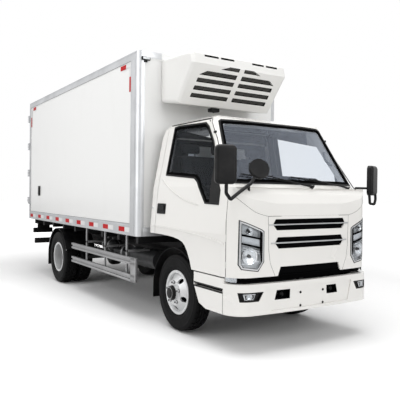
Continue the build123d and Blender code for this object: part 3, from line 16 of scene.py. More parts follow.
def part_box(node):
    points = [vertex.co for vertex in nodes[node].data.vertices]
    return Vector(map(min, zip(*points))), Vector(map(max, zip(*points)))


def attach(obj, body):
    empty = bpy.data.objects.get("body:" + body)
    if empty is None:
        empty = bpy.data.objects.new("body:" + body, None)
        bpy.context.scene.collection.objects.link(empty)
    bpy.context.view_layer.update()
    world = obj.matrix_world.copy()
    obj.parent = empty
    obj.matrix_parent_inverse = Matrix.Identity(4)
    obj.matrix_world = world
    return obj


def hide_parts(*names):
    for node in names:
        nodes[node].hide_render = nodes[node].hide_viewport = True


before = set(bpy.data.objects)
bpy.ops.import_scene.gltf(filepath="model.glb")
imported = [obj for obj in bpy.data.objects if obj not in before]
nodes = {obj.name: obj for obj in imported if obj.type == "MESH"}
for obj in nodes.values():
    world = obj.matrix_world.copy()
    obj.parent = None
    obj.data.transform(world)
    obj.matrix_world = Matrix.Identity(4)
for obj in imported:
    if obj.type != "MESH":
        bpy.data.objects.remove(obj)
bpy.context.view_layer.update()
scene = bpy.context.scene
hands = ((1, "left"), (-1, "right"))  # the sign of y on each side of the truck, and its name

# %% [markdown]
# Shader maths reads best as plain arithmetic. A material's nodes can be wired by hand in the editor, or each
# socket can be wrapped in a small class whose operators add the Math nodes. The class keeps recipes short, so
# a reader sees "0.3 + 0.1 * grain" and not six lines of links.

# %% A socket that does arithmetic


class Signal:
    """One output socket of a material's node tree; arithmetic on it adds Math nodes."""

    def __init__(self, tree, socket):
        self.tree = tree
        self.socket = socket

    def _math(self, operation, first, second=None, clamp=False):
        node = self.tree.nodes.new("ShaderNodeMath")
        node.operation = operation
        node.use_clamp = clamp
        for slot_index, value in enumerate((first, second)):
            if value is None:
                continue
            if isinstance(value, Signal):
                self.tree.links.new(value.socket, node.inputs[slot_index])
            else:
                node.inputs[slot_index].default_value = value
        return Signal(self.tree, node.outputs[0])

    def __add__(self, other):
        return self._math("ADD", self, other)

    def __radd__(self, other):
        return self._math("ADD", other, self)

    def __sub__(self, other):
        return self._math("SUBTRACT", self, other)

    def __rsub__(self, other):
        return self._math("SUBTRACT", other, self)

    def __mul__(self, other):
        return self._math("MULTIPLY", self, other)

    def __rmul__(self, other):
        return self._math("MULTIPLY", other, self)

    def __pow__(self, other):
        return self._math("POWER", self, other)

    def __gt__(self, other):
        return self._math("GREATER_THAN", self, other)

    def clamp(self):
        return self._math("ADD", self, 0.0, clamp=True)

    def absolute(self):
        return self._math("ABSOLUTE", self)

    def sine(self):
        return self._math("SINE", self)


class Finish:
    """A material under construction: its tree, its shader and the node calls that feed it."""

    def __init__(self, name):
        self.material = bpy.data.materials.new(name)
        self.material.use_nodes = True
        self.tree = self.material.node_tree
        self.shader = self.tree.nodes["Principled BSDF"]
        self.output = self.tree.nodes["Material Output"]

    def node(self, kind, settings=None, output=0, **inputs):
        """Add one node: its settings first, then the values or signals of its sockets."""
        made = self.tree.nodes.new(kind)
        for key, value in (settings or {}).items():
            setattr(made, key, value)
        for key, value in inputs.items():
            socket = made.inputs[int(key[1:])] if key[0] == "i" and key[1:].isdigit() else made.inputs[key]
            self.feed(socket, value)
        return Signal(self.tree, made.outputs[output])

    def feed(self, socket, value):
        """Link a signal to a socket, or write a plain value on it."""
        if isinstance(value, Signal):
            self.tree.links.new(value.socket, socket)
        elif socket.type == "RGBA" and len(value) == 3:
            socket.default_value = (*value, 1.0)
        else:
            socket.default_value = value

    def set(self, **sockets):
        """Set the shader's own sockets; underscores stand for the spaces in their names."""
        for key, value in sockets.items():
            self.feed(self.shader.inputs[key.replace("_", " ")], value)

    def place(self, scale=(1.0, 1.0, 1.0)):
        """Object coordinates, in metres, stretched by scale."""
        coordinates = self.node("ShaderNodeTexCoord", output=3)
        return self.node("ShaderNodeMapping", i0=coordinates, i3=scale)

    def axis(self, letter, place=None):
        """One coordinate of a place as a number."""
        return self.node("ShaderNodeSeparateXYZ", output="XYZ".index(letter), i0=place or self.place())

    def noise(self, scale, detail=3.0, stretch=(1.0, 1.0, 1.0), rough=0.55):
        """Cloudy noise from 0 to 1; scale is cells per metre."""
        return self.node("ShaderNodeTexNoise", Vector=self.place(stretch), Scale=scale, Detail=detail,
                         Roughness=rough)

    def mix(self, factor, first, second):
        """A colour between two colours."""
        return self.node("ShaderNodeMix", {"data_type": "RGBA"}, output=2, i0=factor, i6=first, i7=second)

    def ramp(self, factor, low, high):
        """Turn a number into 0 at low and 1 at high."""
        return self.node("ShaderNodeMapRange", {"clamp": True}, Value=factor, i1=low, i2=high)

    def bump(self, height, strength, distance):
        """Turn a height signal into the shader's normal."""
        normal = self.node("ShaderNodeBump", Strength=strength, Distance=distance, Height=height)
        self.feed(self.shader.inputs["Normal"], normal)


def tinted(colour, gain):
    """A colour made lighter or darker."""
    return tuple(min(1.0, channel * gain) for channel in colour)


print("shader helpers ready")

# %% [markdown]
# Finishes. Each real surface varies a little: paint has orange peel and road film, plastic has grain, metal has
# drawing lines. Each recipe below starts with the plain colour, then adds that variation at its real scale. The
# cab's solids are one colour all through, so their paint also turns to grey trim where the lining would be.

# %% Painted finishes
trim_colour, road_film = (0.04, 0.041, 0.044), (0.42, 0.39, 0.34)
film_share, film_low, film_high = 0.032, 0.25, 0.9
# the lined inside of the cab's shell
lining_rear, lining_front, lining_half, lining_floor, lining_roof = 1.5, 2.25, 0.664, 1.05, 2.075


def painted(name, colour, gloss, peel=0.25, coat=0.6, lined=""):
    """Sprayed paint: orange peel, clear coat and road film; lined is "door" or "shell" for a cab panel."""
    paint = Finish(name)
    cloud = paint.noise(1.7, 4.0)
    height = paint.axis("Z")
    low_down = 1.0 - paint.ramp(height, film_low, film_high)
    grime = (low_down * paint.ramp(paint.noise(6.0, 6.0), 0.35, 0.75) * film_share).clamp()
    tone = paint.mix(paint.ramp(cloud, 0.3, 0.7), tinted(colour, 1.012), tinted(colour, 0.985))
    if lined == "door":  # trim on every face of a door that does not face outwards
        facing = paint.axis("Y", paint.node("ShaderNodeTexCoord", output=1))
        tone = paint.mix(paint.axis("Y") * facing > 0.12, trim_colour, tone)
    if lined == "shell":  # trim on what lies inside the lined box
        long, wide = paint.axis("X"), paint.axis("Y").absolute()
        inside = (long > lining_rear) * (1.0 - (long > lining_front)) * (1.0 - (wide > lining_half))
        inside = inside * (height > lining_floor) * (1.0 - (height > lining_roof))
        tone = paint.mix(inside, tone, trim_colour)
    paint.set(Base_Color=paint.mix(grime, tone, road_film))
    paint.set(Roughness=gloss + 0.05 * cloud + 0.3 * grime, Coat_Weight=coat, Coat_Roughness=0.06)
    paint.bump(paint.noise(420.0, 2.0), peel * 0.08, 0.0003)
    return paint.material


cab_white = (0.775, 0.762, 0.735)
box_white = (0.8, 0.8, 0.79)
cab_paint = painted("cab paint", cab_white, 0.24)
cab_shell_paint = painted("cab shell paint", cab_white, 0.24, lined="shell")
cab_door_paint = painted("cab door paint", cab_white, 0.24, lined="door")
unit_paint = painted("unit shell", (0.76, 0.755, 0.735), 0.38, coat=0.15, peel=0.5)
door_paint = painted("box door paint", box_white, 0.32, coat=0.3)


def box_skin():
    """Glass-fibre box panel: faint long waves and a fine gelcoat texture."""
    skin = Finish("box panel")
    wave = skin.noise(2.2, 2.0, (1.0, 1.0, 2.5))
    film = skin.ramp(skin.noise(4.0, 5.0, (1.0, 1.0, 0.3)), 0.55, 0.9)
    skin.set(Base_Color=skin.mix(0.12 * film, box_white, (0.62, 0.61, 0.58)))
    skin.set(Roughness=0.3 + 0.08 * film, Coat_Weight=0.35, Coat_Roughness=0.12)
    skin.bump(wave * 4.0 + 0.02 * skin.noise(300.0, 2.0), 0.1, 0.004)
    return skin.material


box_panel = box_skin()


def floor_skin():
    """The box floor: ribbed aluminium inside, black paint on the bearers below."""
    skin = Finish("box floor")
    inside = skin.axis("Z") > 0.985
    ribs = (skin.axis("Y") * 160.0).sine()
    cloud = skin.noise(5.0, 4.0)
    skin.set(Base_Color=skin.mix(inside, (0.008, 0.008, 0.0085), (0.52, 0.53, 0.54)))
    skin.set(Metallic=0.8 * inside, Roughness=0.45 + 0.15 * cloud, Specular_IOR_Level=0.2)
    skin.bump(ribs * inside, 0.4, 0.003)
    return skin.material


box_floor_skin = floor_skin()


def chassis_paint():
    """Black chassis paint with dust that settles on it."""
    black = Finish("chassis black")
    dust = black.ramp(black.noise(5.0, 7.0, rough=0.65), 0.45, 0.85)
    black.set(Base_Color=black.mix(0.25 * dust, (0.007, 0.007, 0.0075), (0.07, 0.065, 0.06)))
    black.set(Roughness=0.42 + 0.35 * dust, Specular_IOR_Level=0.22)
    black.bump(black.noise(140.0, 3.0), 0.25, 0.0008)
    return black.material


frame_black = chassis_paint()


def cast_metal(name, colour, rough):
    """Rough cast metal with oily, darker hollows."""
    cast = Finish(name)
    pits = cast.noise(60.0, 6.0)
    oil = cast.ramp(cast.noise(7.0, 4.0), 0.4, 0.7)
    cast.set(Base_Color=cast.mix(oil, tinted(colour, 0.55), colour), Metallic=0.6)
    cast.set(Roughness=rough + 0.15 * pits)
    cast.bump(pits, 0.5, 0.0015)
    return cast.material


engine_grey = cast_metal("engine casting", (0.1, 0.1, 0.105), 0.5)
tank_steel = cast_metal("tank paint", (0.07, 0.072, 0.075), 0.35)
cab_floor_paint = cast_metal("cab underside", (0.12, 0.12, 0.12), 0.55)

# %% [markdown]
# Metals. Extruded and brushed metal shows fine lines along the way it was drawn, so its noise is stretched sixty
# times across them. Plating only hazes a little, and wheel paint has bright flecks under patches of brake dust.

# %% Metals


def drawn_metal(name, colour, rough, along="X"):
    """Extruded or brushed metal: fine lines along the drawing direction."""
    metal = Finish(name)
    stretch = {"X": (1.0, 60.0, 60.0), "Z": (60.0, 60.0, 1.0)}[along]
    lines = metal.noise(9.0, 4.0, stretch)
    cloud = metal.ramp(metal.noise(3.0, 4.0), 0.35, 0.75)
    metal.set(Base_Color=metal.mix(cloud, colour, tinted(colour, 0.82)), Metallic=0.85)
    metal.set(Roughness=rough + 0.12 * lines + 0.06 * cloud)
    metal.bump(lines, 0.12, 0.0004)
    return metal.material


alloy_rail = drawn_metal("aluminium rail", (0.62, 0.63, 0.645), 0.34)
alloy_post = drawn_metal("aluminium post", (0.64, 0.65, 0.665), 0.3, "Z")
guard_alloy = drawn_metal("guard aluminium", (0.37, 0.37, 0.375), 0.36)
door_steel = drawn_metal("stainless steel", (0.56, 0.565, 0.575), 0.28, "Z")


def bright_plate(name, colour, rough):
    """Bright plating with faint hazing."""
    plate = Finish(name)
    haze = plate.noise(14.0, 3.0)
    plate.set(Base_Color=plate.mix(haze, colour, tinted(colour, 0.93)), Metallic=1.0)
    plate.set(Roughness=rough + 0.06 * haze)
    return plate.material


lamp_housing = bright_plate("lamp housing", (0.52, 0.53, 0.54), 0.3)
lamp_silver = bright_plate("lamp silver", (0.6, 0.61, 0.62), 0.22)
chrome = bright_plate("chrome", (0.82, 0.83, 0.84), 0.07)
mirror_silver = bright_plate("mirror silver", (0.86, 0.88, 0.89), 0.02)


def wheel_paint():
    """Silver wheel paint: bright flecks, with patches of brake dust."""
    silver = Finish("wheel silver")
    fleck = silver.noise(900.0, 1.0)
    dust = silver.ramp(silver.noise(9.0, 5.0), 0.5, 0.85)
    base = silver.mix(fleck, (0.6, 0.605, 0.61), (0.72, 0.725, 0.73))
    silver.set(Base_Color=silver.mix(0.35 * dust, base, (0.33, 0.31, 0.29)), Metallic=0.45)
    silver.set(Roughness=0.34 + 0.2 * dust)
    silver.bump(silver.noise(260.0, 2.0), 0.15, 0.0004)
    return silver.material


wheel_silver = wheel_paint()

# %% [markdown]
# Rubber, plastic, glass, tape and cloth. Most of them are very dark, so what tells them apart is how rough they
# are, how coarse their grain is and how much dust lies on them. A pane is thin, so it needs no refraction: it
# mixes a clear shader with a mirror that grows at low angles.

# %% Rubber, plastic and glass


def grained(name, colour, rough, grain=900.0, depth=0.35, dust=0.12, shine=0.35):
    """Moulded plastic or rubber: a fine grain and a little dust."""
    plastic = Finish(name)
    film = plastic.ramp(plastic.noise(8.0, 5.0), 0.45, 0.85)
    plastic.set(Base_Color=plastic.mix(dust * film, colour, (0.2, 0.19, 0.175)))
    plastic.set(Roughness=rough + 0.12 * film, Specular_IOR_Level=shine)
    plastic.bump(plastic.noise(grain, 2.0), depth, 0.0005)
    return plastic.material


black_plastic = grained("black plastic", (0.0045, 0.0045, 0.005), 0.36, dust=0.06, shine=0.17)
# near-black: the real black of printed borders, mesh, bars and shut lines, and also painted shade where a dark
# sheet fills a slot, window or gap
black_and_painted_shade = grained("black and painted shade", (0.0012, 0.0012, 0.0014), 0.85, dust=0.0, shine=0.03)
seal_rubber = grained("seal rubber", (0.005, 0.005, 0.0055), 0.48, 300.0, 0.2, 0.04, 0.18)
dash_plastic = grained("dashboard plastic", (0.04, 0.042, 0.047), 0.55, 700.0, 0.4, 0.05, 0.25)
liner_dark = grained("cab lining dark", (0.007, 0.0072, 0.008), 0.75, 500.0, 0.4, 0.05, 0.15)
liner_pale = grained("cab lining pale", (0.055, 0.057, 0.06), 0.8, 500.0, 0.4, 0.05, 0.15)
trim_grey = grained("trim grey", (0.17, 0.175, 0.18), 0.6, 700.0, 0.3, 0.04)
louvre_grey = grained("louvre grey", (0.055, 0.055, 0.05), 0.6, 300.0, 0.3, 0.1)


def tyre_compound():
    """Tyre rubber: dark, matt and dusty, with a fine grain."""
    rubber = Finish("tyre rubber")
    dust = rubber.ramp(rubber.noise(11.0, 6.0), 0.42, 0.8)
    rubber.set(Base_Color=rubber.mix(0.1 * dust, (0.0032, 0.0032, 0.0035), (0.04, 0.038, 0.036)))
    rubber.set(Roughness=0.55 + 0.2 * dust, Specular_IOR_Level=0.1)
    rubber.bump(rubber.noise(380.0, 3.0), 0.35, 0.0006)
    return rubber.material


tyre_rubber = tyre_compound()


def clear_pane(name, tint, mirror=0.045, sheen=(1.0, 1.0, 1.0)):
    """A thin pane: tinted see-through, with a mirror-like share that grows at low angles."""
    pane = Finish(name)
    see = pane.node("ShaderNodeBsdfTransparent", i0=tint)
    shine = pane.node("ShaderNodeBsdfGlossy", i0=sheen, Roughness=0.02)
    facing = pane.node("ShaderNodeLayerWeight", output=1, i0=0.5)
    share = mirror + (1.0 - mirror) * facing ** 5.0
    blend = pane.node("ShaderNodeMixShader", i0=share.clamp(), i1=see, i2=shine)
    pane.tree.links.new(blend.socket, pane.output.inputs["Surface"])
    pane.tree.nodes.remove(pane.shader)
    return pane.material


# painted reflection: the sheen colours tint and dim what the panes reflect, a blue cast on the screen and dark
# grey on the door glass, in place of the surroundings the glass would show
screen_glass = clear_pane("screen glass", (0.95, 0.96, 0.97), mirror=0.085, sheen=(0.74, 0.81, 0.94))
window_glass = clear_pane("window glass", (0.93, 0.94, 0.95), mirror=0.008, sheen=(0.3, 0.32, 0.34))
lamp_cover = clear_pane("lamp cover", (0.93, 0.94, 0.95))


def lens(name, colour):
    """A coloured lamp lens with fine fluting."""
    glass = Finish(name)
    flutes = (glass.axis("Z") * 900.0).sine()
    glass.set(Base_Color=glass.mix(glass.noise(25.0), colour, tinted(colour, 0.8)), Roughness=0.12)
    glass.set(Coat_Weight=1.0, Coat_Roughness=0.03)
    glass.bump(flutes, 0.35, 0.0006)
    return glass.material


red_lens = lens("red lens", (0.42, 0.008, 0.01))
amber_lens = lens("amber lens", (0.8, 0.2, 0.012))
white_lens = lens("white lens", (0.74, 0.76, 0.78))


def sticky_tape(name, colour):
    """Reflective tape: a fine honeycomb under a gloss film."""
    tape = Finish(name)
    cell = tape.node("ShaderNodeTexVoronoi", Vector=tape.place(), Scale=260.0)
    tape.set(Base_Color=tape.mix(cell, colour, tinted(colour, 0.75)), Roughness=0.25 + 0.2 * cell)
    tape.set(Coat_Weight=0.05, Coat_Roughness=0.2, Specular_IOR_Level=0.08)
    return tape.material


red_tape = sticky_tape("red tape", (0.52, 0.003, 0.006))
white_tape = sticky_tape("white tape", (0.8, 0.8, 0.8))


def seat_cloth():
    """Woven seat cloth with a soft sheen."""
    cloth = Finish("seat cloth")
    weave = (cloth.axis("X") * 2600.0).sine() * (cloth.axis("Y") * 2600.0).sine()
    patch = cloth.noise(6.0, 4.0)
    cloth.set(Base_Color=cloth.mix(patch, (0.02, 0.021, 0.024), (0.04, 0.042, 0.047)))
    cloth.set(Roughness=0.85 + 0.08 * patch, Sheen_Weight=0.1, Specular_IOR_Level=0.1)
    cloth.bump(weave, 0.12, 0.0004)
    return cloth.material


seat_fabric = seat_cloth()
print("finishes", len(bpy.data.materials))

# %% [markdown]
# The solids get their finishes first, by node name. What a later cell replaces or covers still needs a finish,
# because small parts of it can show through a gap.

# %% Give each solid its finish
finish_of = {
    frame_black: "chassis_frame front_axle rear_axle leaf_springs steering_knuckle_left steering_knuckle_right "
                 "battery_box rear_bar",
    engine_grey: "engine_block driveline",
    tank_steel: "fuel_tank silencer",
    guard_alloy: "side_guards",
    alloy_rail: "box_edge_rails",
    door_steel: "box_rear_frame door_gear_left door_gear_right",
    black_plastic: "mudguards mirrors fog_lamps step_panels rear_lamps",
    black_and_painted_shade: "grille",
    dash_plastic: "dashboard",
    cab_paint: "bumper cab_roof",
    cab_door_paint: "cab_door_left cab_door_right",
    cab_shell_paint: "cab_back_panel cab_front_panel",
    cab_floor_paint: "cab_floor",
    lamp_housing: "headlights",
    box_floor_skin: "box_floor",
    box_panel: "box_wall_left box_wall_right box_front_wall box_roof",
    door_paint: "box_door_left box_door_right",
    unit_paint: "cooling_unit",
    wheel_silver: "front_wheel_left front_wheel_right rear_wheels_left rear_wheels_right",
    tyre_rubber: "front_tyre_left front_tyre_right rear_tyres_left rear_tyres_right",
    screen_glass: "cab_glass",
    window_glass: "door_glass_left door_glass_right",
    seat_fabric: "seats",
}
for finish, names in finish_of.items():
    for name in names.split():
        nodes[name].data.materials.clear()
        nodes[name].data.materials.append(finish)
print("bare nodes", [name for name, item in nodes.items() if not item.data.materials])

# %% [markdown]
# A table lists the part's colour slots and the finishes that usually belong to each. Nothing reads it, and no
# piece goes into a slot.

# %% The usual slot of each finish
for slot_name, finishes in (
        ("black_plastic", (black_plastic, black_and_painted_shade, seal_rubber, trim_grey, louvre_grey, dash_plastic,
                           liner_dark)),
        ("rear_steel", (door_steel, alloy_post, alloy_rail, lamp_housing, mirror_silver)),
        ("lamp_clear", (lamp_silver, lamp_cover, white_lens, chrome)),
        ("lamp_red", (red_lens, amber_lens, red_tape)),
        ("box_panel", (white_tape, door_paint, unit_paint)),
        ("seat_fabric", (seat_fabric, liner_pale)),
        ("wheel_silver", (wheel_silver, engine_grey)),
        ("frame_black", (frame_black,)),
        ("tyre_rubber", (tyre_rubber,)),
        ("guard_alloy", (guard_alloy,)),
        ("tank_steel", (tank_steel,)),
        ("cab_paint", (cab_paint,))):
    dict.fromkeys(finishes, slot_name)

# %% [markdown]
# The stage is a pale floor in a bright room. The camera stands low, ahead of the right front corner, so the
# long side, the cab's front and the unit over the cab all show. One large soft light hangs overhead and two
# weaker ones fill the side and the front; the world gives the rest.

# %% Camera
camera_place = Vector((6.4338, -3.4674, 1.3849))
camera_turn = math.radians(57.067)
camera_dip = math.radians(0.763)
camera_roll = math.radians(0.679)
camera_lens = 47.15

camera_data = bpy.data.cameras.new("camera")
camera_data.lens = camera_lens
camera_data.sensor_width = 36.0
camera_data.clip_end = 200.0
camera = bpy.data.objects.new("camera", camera_data)
scene.collection.objects.link(camera)
ahead = Vector((-math.sin(camera_turn) * math.cos(camera_dip), math.cos(camera_turn) * math.cos(camera_dip),
                -math.sin(camera_dip)))
level = Vector((math.cos(camera_turn), math.sin(camera_turn), 0.0))
upright = level.cross(ahead)
side_axis = level * math.cos(camera_roll) + upright * math.sin(camera_roll)
top_axis = upright * math.cos(camera_roll) - level * math.sin(camera_roll)
turn = Matrix((side_axis, top_axis, -ahead)).transposed().to_4x4()
camera.matrix_world = Matrix.Translation(camera_place) @ turn
scene.camera = camera

# %% [markdown]
# The floor glows white far out, so that it runs into the room without an edge, and only the camera sees that.
# In the same way the camera, reflections and glass see a white room, while the light that it gives is weaker.

# %% Floor, room and lights
scene.view_settings.view_transform = "Standard"
floor_mesh = bpy.data.meshes.new("floor")
floor_shape = bmesh.new()
bmesh.ops.create_grid(floor_shape, x_segments=1, y_segments=1, size=60.0)
floor_shape.to_mesh(floor_mesh)
floor_shape.free()
floor = bpy.data.objects.new("floor", floor_mesh)
scene.collection.objects.link(floor)

floor_finish = Finish("studio floor")
grain = floor_finish.noise(0.8, 2.0)
floor_finish.set(Base_Color=floor_finish.mix(grain, (0.8, 0.8, 0.8), (0.82, 0.82, 0.82)), Roughness=0.9)
floor_place = floor_finish.place()
from_middle = (floor_finish.axis("X", floor_place) ** 2.0 + floor_finish.axis("Y", floor_place) ** 2.0) ** 0.5
far_off = floor_finish.ramp(from_middle, 4.0, 11.0)
glow = floor_finish.node("ShaderNodeEmission", i0=(1.0, 1.0, 1.0), Strength=far_off)
white_seen = floor_finish.node("ShaderNodeBsdfDiffuse", i0=(1.0, 1.0, 1.0))
both = floor_finish.node("ShaderNodeAddShader", i0=white_seen, i1=glow)
rays = floor_finish.tree.nodes.new("ShaderNodeLightPath")
seen = Signal(floor_finish.tree, rays.outputs["Is Camera Ray"])
plain = Signal(floor_finish.tree, floor_finish.shader.outputs[0])
shown = floor_finish.node("ShaderNodeMixShader", i0=seen, i1=plain, i2=both)
floor_finish.tree.links.new(shown.socket, floor_finish.output.inputs["Surface"])
floor.data.materials.append(floor_finish.material)

world = bpy.data.worlds.new("room")
scene.world = world
world.use_nodes = True
room = world.node_tree
room.nodes.clear()
room_light = room.nodes.new("ShaderNodeBackground")
room_light.inputs["Strength"].default_value = 0.38
room_seen = room.nodes.new("ShaderNodeBackground")
room_seen.inputs["Strength"].default_value = 1.0
for background in (room_light, room_seen):
    background.inputs["Color"].default_value = (1.0, 1.0, 1.0, 1.0)
room_rays = room.nodes.new("ShaderNodeLightPath")
room_out = room.nodes.new("ShaderNodeOutputWorld")
room_mix = room.nodes.new("ShaderNodeMixShader")
by_camera, by_gloss, by_glass = [Signal(room, room_rays.outputs["Is %s Ray" % kind])
                                 for kind in ("Camera", "Glossy", "Transmission")]
room_white = (by_camera + by_gloss + by_glass).clamp()
room.links.new(room_white.socket, room_mix.inputs[0])
room.links.new(room_light.outputs[0], room_mix.inputs[1])
room.links.new(room_seen.outputs[0], room_mix.inputs[2])
room.links.new(room_mix.outputs[0], room_out.inputs["Surface"])


def soft_light(name, place, aim, size, power):
    """A large square lamp that faces a point."""
    lamp = bpy.data.lights.new(name, "AREA")
    lamp.size = size
    lamp.energy = power
    holder = bpy.data.objects.new(name, lamp)
    scene.collection.objects.link(holder)
    holder.location = place
    holder.rotation_euler = (Vector(aim) - Vector(place)).to_track_quat("-Z", "Y").to_euler()


soft_light("overhead", (1.0, -1.0, 8.5), (0.3, 0.0, 0.0), 9.0, 700.0)
soft_light("side_fill", (1.0, -10.0, 4.0), (0.0, 0.0, 1.3), 6.0, 290.0)
soft_light("front_fill", (10.0, 0.5, 4.5), (2.0, 0.0, 1.6), 5.0, 260.0)
print("camera at", tuple(round(value, 3) for value in camera.location))

# %% [markdown]
# Every small piece is made as a bmesh. One function turns that into an object with a finish, which rides on one
# of the truck's bodies, so that a door's seal swings with its door.

# %% Finished pieces
sharp_angle = math.radians(32.0)


def piece(name, shape, finish, body, smooth=True):
    """Turn a bmesh into a finished piece on a body."""
    bmesh.ops.recalc_face_normals(shape, faces=shape.faces)
    mesh = bpy.data.meshes.new(name)
    shape.to_mesh(mesh)
    shape.free()
    mesh.materials.append(finish)
    if smooth:
        mesh.shade_smooth()
        mesh.set_sharp_from_angle(angle=sharp_angle)
    item = bpy.data.objects.new(name, mesh)
    scene.collection.objects.link(item)
    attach(item, body)
    print(name, len(mesh.polygons), "faces")
    return item


# %% [markdown]
# The cab's surfaces are simple enough to be written as formulas: a bowed nose with rounded corners, a raked
# screen, and sides that lean in towards the roof. Each takes a place as seen from ahead or from the side, and a
# lift off the paint, and gives the point in space. Rows of height and place say where the nose and sides bend.

# %% The cab's surfaces
nose_front, nose_half = 2.9695, 0.855
bumper_front, bumper_half = 2.9975, 0.86
front_bow, corner_radius = 0.03, 0.2
screen_foot_x, screen_foot_z, screen_rake = 2.8575, 1.455, 0.63
screen_half, screen_bow = 0.771, 0.112


def arc_front(front, half, bow, corner, y):
    """How far forward a bowed nose with rounded corners reaches at one y."""
    y = abs(y)
    corner_y = half - corner
    radius = (corner_y ** 2 + bow ** 2) / (2 * bow)
    if y <= corner_y:
        return front - radius + math.sqrt(radius ** 2 - y ** 2)
    over = min(y - corner_y, corner * 0.999)
    return front - bow - corner + math.sqrt(corner ** 2 - over ** 2)


def between(table, key):
    """Straight-line look-up in a table of (key, value) rows."""
    for (key_a, value_a), (key_b, value_b) in zip(table, table[1:]):
        if key <= key_b:
            return value_a + (value_b - value_a) * (key - key_a) / (key_b - key_a)
    return table[-1][1]


nose_table = ((0.5, 2.9745), (1.3, 2.9575), (1.378, 2.9195), (1.435, 2.8755), (1.449, 2.8575))
side_table = ((0.0, 0.855), (1.03, 0.855), (1.19, 0.842), (1.44, 0.82), (2.06, 0.694), (2.16, 0.674))


def cab_face(y, z, lift=0.0):
    """A point on the cab's front below the screen, seen from ahead."""
    bowed = arc_front(nose_front, nose_half, front_bow, corner_radius, y)
    return Vector((min(bowed, between(nose_table, z)) + lift, y, z))


def bumper_face(y, z, lift=0.0):
    """A point on the bumper's front."""
    return Vector((arc_front(bumper_front, bumper_half, front_bow, corner_radius, y) + lift, y, z))


# how far the middle of the screen lies behind its straight rake, near the roof
brow_table = ((1.9, 0.0), (2.075, 0.021), (2.09, 0.032), (2.11, 0.09))


def screen_face(y, z, lift=0.0):
    """A point on the windscreen's outer surface line."""
    behind = max(screen_bow * (y / screen_half) ** 2, between(brow_table, z))
    return Vector((screen_foot_x - screen_rake * (z - screen_foot_z) - behind + lift, y, z))


def cab_side(side):
    """The cab's flat side as a function of x and z."""
    def surface(x, z, lift=0.0):
        return Vector((x, side * (between(side_table, z) + lift), z))
    return surface


print("the screen's foot is at", screen_face(0.0, screen_foot_z))

# %% [markdown]
# Seals, strips, lamp rims and tape are thin, and follow the panel they are fixed to. Each is drawn flat as a few
# corner points, cut into small cells, wrapped onto a surface and then given thickness.

# %% Outlines and plates


def rect(low_u, high_u, low_v, high_v):
    """A rectangle's corners, in order."""
    return [(low_u, low_v), (high_u, low_v), (high_u, high_v), (low_u, high_v)]


def mirrored(points):
    """An outline on the other side of the middle."""
    return [(-u, v) for u, v in reversed(points)]


def handed(points, side):
    """An outline drawn for the left, moved to its side."""
    return points if side > 0 else mirrored(points)


def flat_outline(points):
    """A bmesh with one flat face drawn in its XY plane."""
    shape = bmesh.new()
    shape.faces.new([shape.verts.new((u, v, 0.0)) for u, v in points])
    shape.normal_update()
    return shape


def inner_outline(shape, width):
    """Shrink each outline by width."""
    rim = bmesh.ops.inset_region(shape, faces=list(shape.faces), thickness=width, use_boundary=True,
                                 use_even_offset=True)["faces"]
    bmesh.ops.delete(shape, geom=rim, context="FACES")
    return shape


def keep_ring(shape, width):
    """Turn each outline into a ring that reaches inwards by width."""
    inner = list(shape.faces)
    bmesh.ops.inset_region(shape, faces=inner, thickness=width, use_boundary=True, use_even_offset=True)
    bmesh.ops.delete(shape, geom=inner, context="FACES")
    return shape


def cut_cells(shape, cell):
    """Cut flat faces along a grid, so that they can bend."""
    for axis_index, normal in enumerate(((1, 0, 0), (0, 1, 0))):
        reach = [vertex.co[axis_index] for vertex in shape.verts]
        for step in range(math.floor(min(reach) / cell) + 1, math.ceil(max(reach) / cell)):
            bmesh.ops.bisect_plane(shape, geom=list(shape.verts) + list(shape.edges) + list(shape.faces),
                                   plane_co=Vector(normal) * (step * cell), plane_no=normal)
    return shape


def wrap(shape, surface, lift, thickness):
    """Lay a flat shape on a surface and give it thickness outwards."""
    low = list(shape.verts)
    flat = [(vertex.co.x, vertex.co.y) for vertex in low]
    made = bmesh.ops.extrude_face_region(shape, geom=list(shape.faces))
    top = [item for item in made["geom"] if isinstance(item, bmesh.types.BMVert)]
    place_of_top = {vertex: (vertex.co.x, vertex.co.y) for vertex in top}
    for vertex, (u, v) in zip(low, flat):
        vertex.co = surface(u, v, lift)
    for vertex, (u, v) in place_of_top.items():
        vertex.co = surface(u, v, lift + thickness)
    return shape


def plate(points, surface, lift, thickness, cell=0.04, ring=None):
    """A thin plate, or a ring, that follows a surface."""
    shape = flat_outline(points)
    if ring:
        keep_ring(shape, ring)
    return wrap(cut_cells(shape, cell), surface, lift, thickness)


def ring_plate(points, inset, width, surface, lift, thickness, cell=0.02):
    """A ring between two insets of an outline, laid on a surface."""
    shape = flat_outline(points)
    if inset:
        inner_outline(shape, inset)
    return wrap(cut_cells(keep_ring(shape, width), cell), surface, lift, thickness)


def soften(shape, offset, segments=2):
    """Round a shape's sharp edges."""
    sharp = [edge for edge in shape.edges if len(edge.link_faces) == 2 and edge.calc_face_angle(0.0) > 1.0]
    bmesh.ops.bevel(shape, geom=sharp, offset=offset, segments=segments, profile=0.5, affect="EDGES",
                    material=-1)
    return shape


print("outlines and plates ready")

# %% [markdown]
# The solid small parts are blocks with rounded edges, rods, turned shapes and bent bars. A bar is a curve with a
# round section, made a mesh at once, and a turned shape is one row of points spun round its axis.

# %% Blocks, rods, turned shapes and bars


def join(*shapes):
    """Put several bmeshes into one."""
    whole = bmesh.new()
    for shape in shapes:
        mesh = bpy.data.meshes.new("part")
        shape.to_mesh(mesh)
        shape.free()
        whole.from_mesh(mesh)
        bpy.data.meshes.remove(mesh)
    return whole


